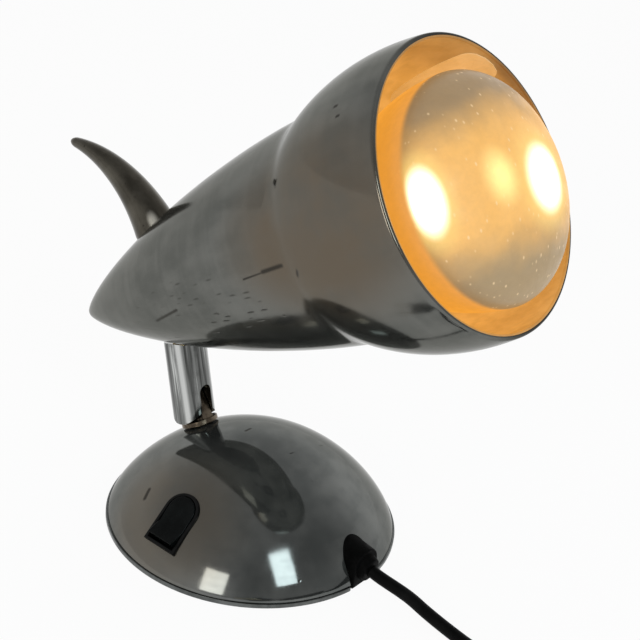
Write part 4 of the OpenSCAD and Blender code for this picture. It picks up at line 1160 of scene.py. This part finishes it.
def add_gland():
    bore = CORD_D / 2 + 0.1
    body = GLAND_D / 2
    root = -GLAND_NECK - GLAND_FLANGE_T
    step = 0.35
    nose = lathe(
        (
            (GLAND_FLANGE_R, root),
            (GLAND_FLANGE_R, -GLAND_NECK),
            (body - 0.1, -GLAND_NECK),
            (body - 0.1, 0),
            (GLAND_NOSE_R, 0),
            (GLAND_NOSE_R - 0.05, GLAND_STEP_Z[0]),
            (GLAND_NOSE_R - step, GLAND_STEP_Z[1]),
            (GLAND_TIP_R, GLAND_NOSE - GLAND_TIP_SOFT),
            (GLAND_TIP_R - step, GLAND_NOSE - GLAND_TIP_SOFT / 3),
            (GLAND_TIP_R - GLAND_TIP_SOFT, GLAND_NOSE),
        ),
        72,
    )
    outline = [on_circle(body, 5 * i) for i in range(37)]
    outline += [(-body, -2 * GLAND_Z), (body, -2 * GLAND_Z)]
    block = placed(prism(outline, -2 * GLAND_D, 2 * GLAND_D), AT_GLAND)
    bounds = box_mesh((-GLAND_D, GLAND_BLOCK_Y[0], GLAND_BLOCK_Z), (GLAND_D, GLAND_BLOCK_Y[1], 3 * GLAND_D))
    block = soften(carve(block, "INTERSECT", bounds), GLAND_ROUND, 3, 50)
    gland = carve(block, "UNION", placed(nose, AT_GLAND))
    gland = carve(gland, "DIFFERENCE", rod(bore, root - 1, GLAND_NOSE + 1, AT_GLAND, 40))
    dress("gland", gland, AT_WORLD, "base", "gland_black", ("cable_gland",), sharp=30, weighted=True)


add_plate()
add_dome()
add_switch()
add_gland()


# Knuckle and stem


def bend_points(start, corner, end, steps):
    """Points on a soft bend from start to end that leaves both ends toward the corner."""
    made = []
    for i in range(steps + 1):
        t = i / steps
        made.append(
            tuple((1 - t) ** 2 * a + 2 * t * (1 - t) * b + t * t * c for a, b, c in zip(start, corner, end))
        )
    return made


def shade_outside(body_steps, bell_steps):
    """(radius, distance from the tail) from the tail's tip to the rim, with the crease a little soft."""
    before = BODY_LEN - CREASE_SOFT
    places = [before * (i / body_steps) ** 1.9 for i in range(body_steps)]
    made = [(body_r(x), x) for x in places]
    made += bend_points(
        (body_r(before), before), (CREASE_R, BODY_LEN), (bell_at(CREASE_SOFT), BODY_LEN + CREASE_SOFT), 6
    )
    last = BELL_LEN - RIM_SOFT
    for i in range(1, bell_steps + 1):
        x = CREASE_SOFT + (last - CREASE_SOFT) * i / bell_steps
        made.append((bell_at(x), BODY_LEN + x))
    return made


def add_tongue():
    root = COLLAR_LIFT + COLLAR_T / 2 - PIVOT_H
    outline = [(TONGUE_W / 2, root)]
    outline += [on_circle(TONGUE_END_R, 6 * i) for i in range(31)]
    outline.append((-TONGUE_W / 2, root))
    blade = placed(prism(outline, -TONGUE_T / 2, TONGUE_T / 2), turn(90, "Z") @ turn(90, "X"))
    placed(blade, move(0, 0, PIVOT_H))
    collar = rod(COLLAR_R, COLLAR_LIFT, COLLAR_LIFT + COLLAR_T, count=64)
    tube = rod(TUBE_R, -TUBE_BELOW, COLLAR_LIFT + COLLAR_T / 2, count=48)
    tongue = carve(collar, "UNION", blade, tube)
    length, width, height = TONGUE_WINDOW
    tongue = carve(
        tongue,
        "DIFFERENCE",
        rod(PIVOT_R, -STEM_R, STEM_R, move(0, 0, PIVOT_H) @ turn(90, "Y"), 32),
        rod(TUBE_BORE_R, -TUBE_BELOW - 1, COLLAR_LIFT, count=32),
        box_mesh((-length / 2, -width / 2, 0), (length / 2, width / 2, height)),
    )
    tongue = soften(tongue, TONGUE_ROUND)
    dress("knuckle", tongue, AT_FOOT, "swivel", "knuckle_metal", ("swivel_tongue",), weighted=True)


def add_stem():
    end = STEM_TOP + STEM_LIP
    side_view = [(-2 * STEM_R, end + 1), (-2 * STEM_R, 0), (-FORK_R, 0)]
    side_view += [on_circle(-FORK_R, 4 * i) for i in range(1, 45)]
    side_view += [(FORK_R, 0), (2 * STEM_R, 0), (2 * STEM_R, end + 1)]
    fork = placed(prism(side_view, -2 * STEM_R, 2 * STEM_R), turn(90, "Z") @ turn(90, "X"))
    bar = carve(rod(STEM_R, -FORK_R - 1, end, count=96), "INTERSECT", fork)
    half = SLOT_W / 2
    slot_view = [(-half, -2 * FORK_R), (half, -2 * FORK_R)]
    slot_view += [(half * cos_deg(7.5 * i), SLOT_ARCH_Z + half * sin_deg(7.5 * i)) for i in range(25)]
    slot = placed(prism(slot_view, -2 * STEM_R, 2 * STEM_R), turn(90, "X"))
    across = turn(90, "Y")
    skin = [(r + STEM_TOP_GAP, x - TAIL_LEN) for r, x in shade_outside(48, 4) if x > TAIL_ROUND]
    seat = placed(lathe(skin, 144), IN_STEM.inverted() @ IN_SHADE)
    bar = carve(
        bar,
        "DIFFERENCE",
        seat,
        slot,
        rod(STEM_BORE_R, SLOT_ARCH_Z, STEM_TOP + 1, count=32),
        rod(NIPPLE_HOLE_R, STEM_TOP - NIPPLE_GRIP, end + 1, count=48),
        rod(PIVOT_R, -half - PIVOT_BLIND, 2 * STEM_R, across, 32),
        rod(PIVOT_HEAD_R, PIVOT_HEAD_X, 2 * STEM_R, across, 40),
    )
    bar = soften(bar, STEM_ROUND, 3)
    dress("stem_bar", bar, IN_STEM, "head", "stem_chrome", ("stem",), weighted=True)


add_tongue()
add_stem()


# Shade, horn, bulb and label


def add_shade():
    rim_x = BODY_LEN + BELL_LEN
    rim_r = bell_at(BELL_LEN)
    outside = shade_outside(120, 60)
    rim = bend_points(outside[-1], (rim_r, rim_x), (rim_r - RIM_SOFT, rim_x), 6)[1:]
    edge_r = rim_r - SHADE_WALL
    inner_start = (bell_at(BELL_LEN - RIM_INNER_SOFT) - SHADE_WALL, rim_x - RIM_INNER_SOFT)
    rim += bend_points((edge_r + RIM_INNER_SOFT, rim_x), (edge_r, rim_x), inner_start, 4)
    inside = [(r - SHADE_WALL, x) for r, x in shade_outside(60, 40)[::-1][1:] if x > INNER_TAIL]
    profile = [(r, x - TAIL_LEN) for r, x in (*outside, *rim, *inside, (0, INNER_TAIL))]
    to_stem = IN_SHADE.inverted() @ IN_STEM
    shell = carve(
        lathe(profile, 240),
        "DIFFERENCE",
        rod(NIPPLE_HOLE_R, STEM_TOP - 1, STEM_REACH - CREASE_R / 4, to_stem),
        rod(HORN_SCREW_HOLE_R, 0, 2 * CREASE_R, move(0, 0, HORN_SEAT_X - TAIL_LEN) @ turn(-90, "X"), 32),
    )
    for face in shell.faces:
        centre = face.calc_center_median()
        x = centre.z + TAIL_LEN
        r = math.hypot(centre.x, centre.y)
        if x > INNER_TAIL - 1 and r < outer_r(x) - BARE_RIM:
            face.material_index = 1
    dress("shade_shell", shell, IN_SHADE, "head", "shade_metal", ("shade",), ("shade_metal", "shade_paint"))


def sweep(points, radii, count):
    """A round bar in the plane x = 0 along the points, with one radius for each point."""
    across = Vector((1, 0, 0))
    last = len(points) - 1
    rings = []
    for i, (point, radius) in enumerate(zip(points, radii)):
        ahead = (points[min(i + 1, last)] - points[max(i - 1, 0)]).normalized()
        over = ahead.cross(across)
        step = 2 * math.pi / count
        rings.append(
            [point + radius * (math.cos(k * step) * across + math.sin(k * step) * over) for k in range(count)]
        )
    return loft(rings)


def add_horn():
    root_y = outer_r(HORN_SEAT_X) - HORN_ROOT_DEPTH
    root_z = HORN_SEAT_X - TAIL_LEN
    sweep_angle = math.degrees(HORN_LEN / HORN_BEND)
    steps = 96

    def point(lean):
        return Vector(
            (
                0,
                root_y + HORN_BEND * (sin_deg(lean) - sin_deg(HORN_START_LEAN)),
                root_z + HORN_BEND * (cos_deg(lean) - cos_deg(HORN_START_LEAN)),
            )
        )

    def radius(share):
        taper = HORN_BASE_R + (HORN_TIP_R - HORN_BASE_R) * share
        past = max(0, (share - HORN_TIP_SHARE) / (1 - HORN_TIP_SHARE))
        return taper * math.sqrt(max(0.002, 1 - past**2))

    into_shade = Vector((0, -cos_deg(HORN_START_LEAN), sin_deg(HORN_START_LEAN)))
    sunk = point(HORN_START_LEAN) + HORN_SINK * into_shade
    shares = [1 - (1 - i / steps) ** 1.25 for i in range(steps + 1)]
    points = [sunk] + [point(HORN_START_LEAN + sweep_angle * share) for share in shares]
    radii = [HORN_BASE_R] + [radius(share) for share in shares]
    skin = [(r, x - TAIL_LEN) for r, x in shade_outside(40, 4)]
    seat = lathe(skin + [(0, RIM_Z)], 120)
    tusk = carve(sweep(points, radii, 56), "DIFFERENCE", seat)
    dress("horn_tusk", tusk, IN_SHADE, "head", "horn_pewter", ("horn",), sharp=45)


def add_bulb():
    flare = 48
    crown = 48
    profile = [(0, BULB_CAP_Z), (BULB_CAP_R, BULB_CAP_Z)]
    for i in range(flare + 1):
        t = i / flare
        radius = BULB_NECK_R + (BULB_R - BULB_NECK_R) * sin_deg(90 * t)
        profile.append((radius, BULB_NECK_Z + (BULB_WIDE_Z - BULB_NECK_Z) * t))
    for i in range(1, crown):
        angle = 90 * i / crown
        profile.append((BULB_R * cos_deg(angle), BULB_WIDE_Z + BULB_CROWN * sin_deg(angle)))
    profile.append((0, BULB_WIDE_Z + BULB_CROWN))
    dress("bulb", lathe(profile, 144), IN_LAMP, "head", "bulb_frost", ("bulb_glass",))


def add_label():
    rows = 40
    columns = 40
    grid = bmesh.new()
    lines = []
    for i in range(rows + 1):
        along = (LABEL_TO - LABEL_FROM) * i / rows
        x = BELL_LEN - LABEL_TO + along
        radius = bell_at(x) - SHADE_WALL - LABEL_GAP
        past = max(0, LABEL_CORNER - min(along, LABEL_TO - LABEL_FROM - along))
        cut = LABEL_CORNER - math.sqrt(LABEL_CORNER**2 - past**2)
        trim = math.degrees(cut / radius)
        line = []
        for k in range(columns + 1):
            angle = LABEL_TURN + trim + (LABEL_ANGLE - 2 * trim) * k / columns
            line.append(grid.verts.new((*on_circle(radius, angle), BODY_LEN + x - TAIL_LEN)))
        lines.append(line)
    for lower, upper in zip(lines, lines[1:]):
        for k in range(columns):
            grid.faces.new((lower[k], lower[k + 1], upper[k + 1], upper[k]))
    bmesh.ops.recalc_face_normals(grid, faces=grid.faces)
    bmesh.ops.solidify(grid, geom=grid.faces[:], thickness=LABEL_T)
    dress("label", grid, IN_SHADE, "head", "label_paper", ("inner_label",))


add_shade()
add_horn()
add_bulb()
add_label()


# Studio: pale floor, soft lights, and a sky that is white low down and grey overhead

# Floor: grey level, the share of it that shows plain white, half its side and its gap below, in metres
FLOOR_LEVEL = 0.92
FLOOR_GLOW = 0.94
FLOOR_HALF = 8
FLOOR_GAP = 0.0002


def add_floor():
    look = bpy.data.materials.new("floor")
    tree = new_tree(look)
    path = add_node(tree, "ShaderNodeLightPath").outputs
    seen = path["Is Camera Ray"]
    for kind in ("Is Glossy Ray", "Is Transmission Ray"):
        seen = add_math(tree, "MAXIMUM", seen, path[kind])
    share = add_math(tree, "MULTIPLY", seen, FLOOR_GLOW)
    matt = add_node(tree, "ShaderNodeBsdfDiffuse", {"Color": (*grey(FLOOR_LEVEL), 1)}).outputs[0]
    white = add_node(tree, "ShaderNodeEmission").outputs[0]
    mixed = add_node(tree, "ShaderNodeMixShader", {0: share, 1: matt, 2: white}).outputs[0]
    add_node(tree, "ShaderNodeOutputMaterial", {"Surface": mixed})
    bm = bmesh.new()
    sides = ((-1, -1), (1, -1), (1, 1), (-1, 1))
    corners = [bm.verts.new((x * FLOOR_HALF, y * FLOOR_HALF, -FLOOR_GAP)) for x, y in sides]
    bm.faces.new(corners)
    mesh = mesh_from(bm, "floor")
    mesh.materials.append(look)
    add_object("floor", mesh)


SKY_LEVELS = ((0.0, 1.0), (0.3, 1.0), (0.55, 0.68), (0.8, 0.5), (1.0, 0.48))
# The sky's strength along a direction's Y, darker in front at -Y, and along its X, brighter at +X
SKY_FRONT = (-0.75, -0.1, 0.4, 1.0)
SKY_SIDE = (-0.6, 0.7, 0.75, 1.12)


def add_sky():
    """A studio sky: white low down, greyer overhead, darker in front and brighter at one side."""
    scene.world = bpy.data.worlds.new("studio")
    tree = new_tree(scene.world)
    direction = add_node(tree, "ShaderNodeTexCoord").outputs["Generated"]
    parts = add_node(tree, "ShaderNodeSeparateXYZ", {0: direction}).outputs
    levels = add_node(tree, "ShaderNodeValToRGB", {0: parts["Z"]})
    stops = levels.color_ramp.elements
    while len(stops) < len(SKY_LEVELS):
        stops.new(0.5)
    for stop, (position, level) in zip(stops, SKY_LEVELS):
        stop.position = position
        stop.color = (*grey(level), 1)
    front = add_span(tree, parts["Y"], *SKY_FRONT)
    strength = add_math(tree, "MULTIPLY", front, add_span(tree, parts["X"], *SKY_SIDE))
    inputs = {"Color": levels.outputs[0], "Strength": strength}
    sky = add_node(tree, "ShaderNodeBackground", inputs).outputs[0]
    add_node(tree, "ShaderNodeOutputWorld", {"Surface": sky})


# Soft lights: place and aim in metres, size in metres, power in watts, colour
SOFT_LIGHTS = (
    ("key", (-0.34, -1.02, 0.82), (-0.03, -0.04, 0.02), (0.35, 0.6), 4.5, (0.82, 0.96, 1.0)),
    ("side", (-1.3, -0.38, 0.5), (-0.05, -0.02, 0.03), (0.42, 0.72), 4.6, (1.0, 0.99, 0.93)),
)


def add_lights():
    for name, place, aim, size, power, colour in SOFT_LIGHTS:
        data = bpy.data.lights.new(name, "AREA")
        data.shape = "RECTANGLE"
        data.size, data.size_y = size
        data.energy = power
        data.color = colour
        lamp = add_object(name, data)
        lamp.location = place
        lamp.rotation_mode = "QUATERNION"
        lamp.rotation_quaternion = (Vector(aim) - Vector(place)).to_track_quat("-Z", "Y")


add_floor()
add_sky()
add_lights()
scene.view_settings.view_transform = "Standard"
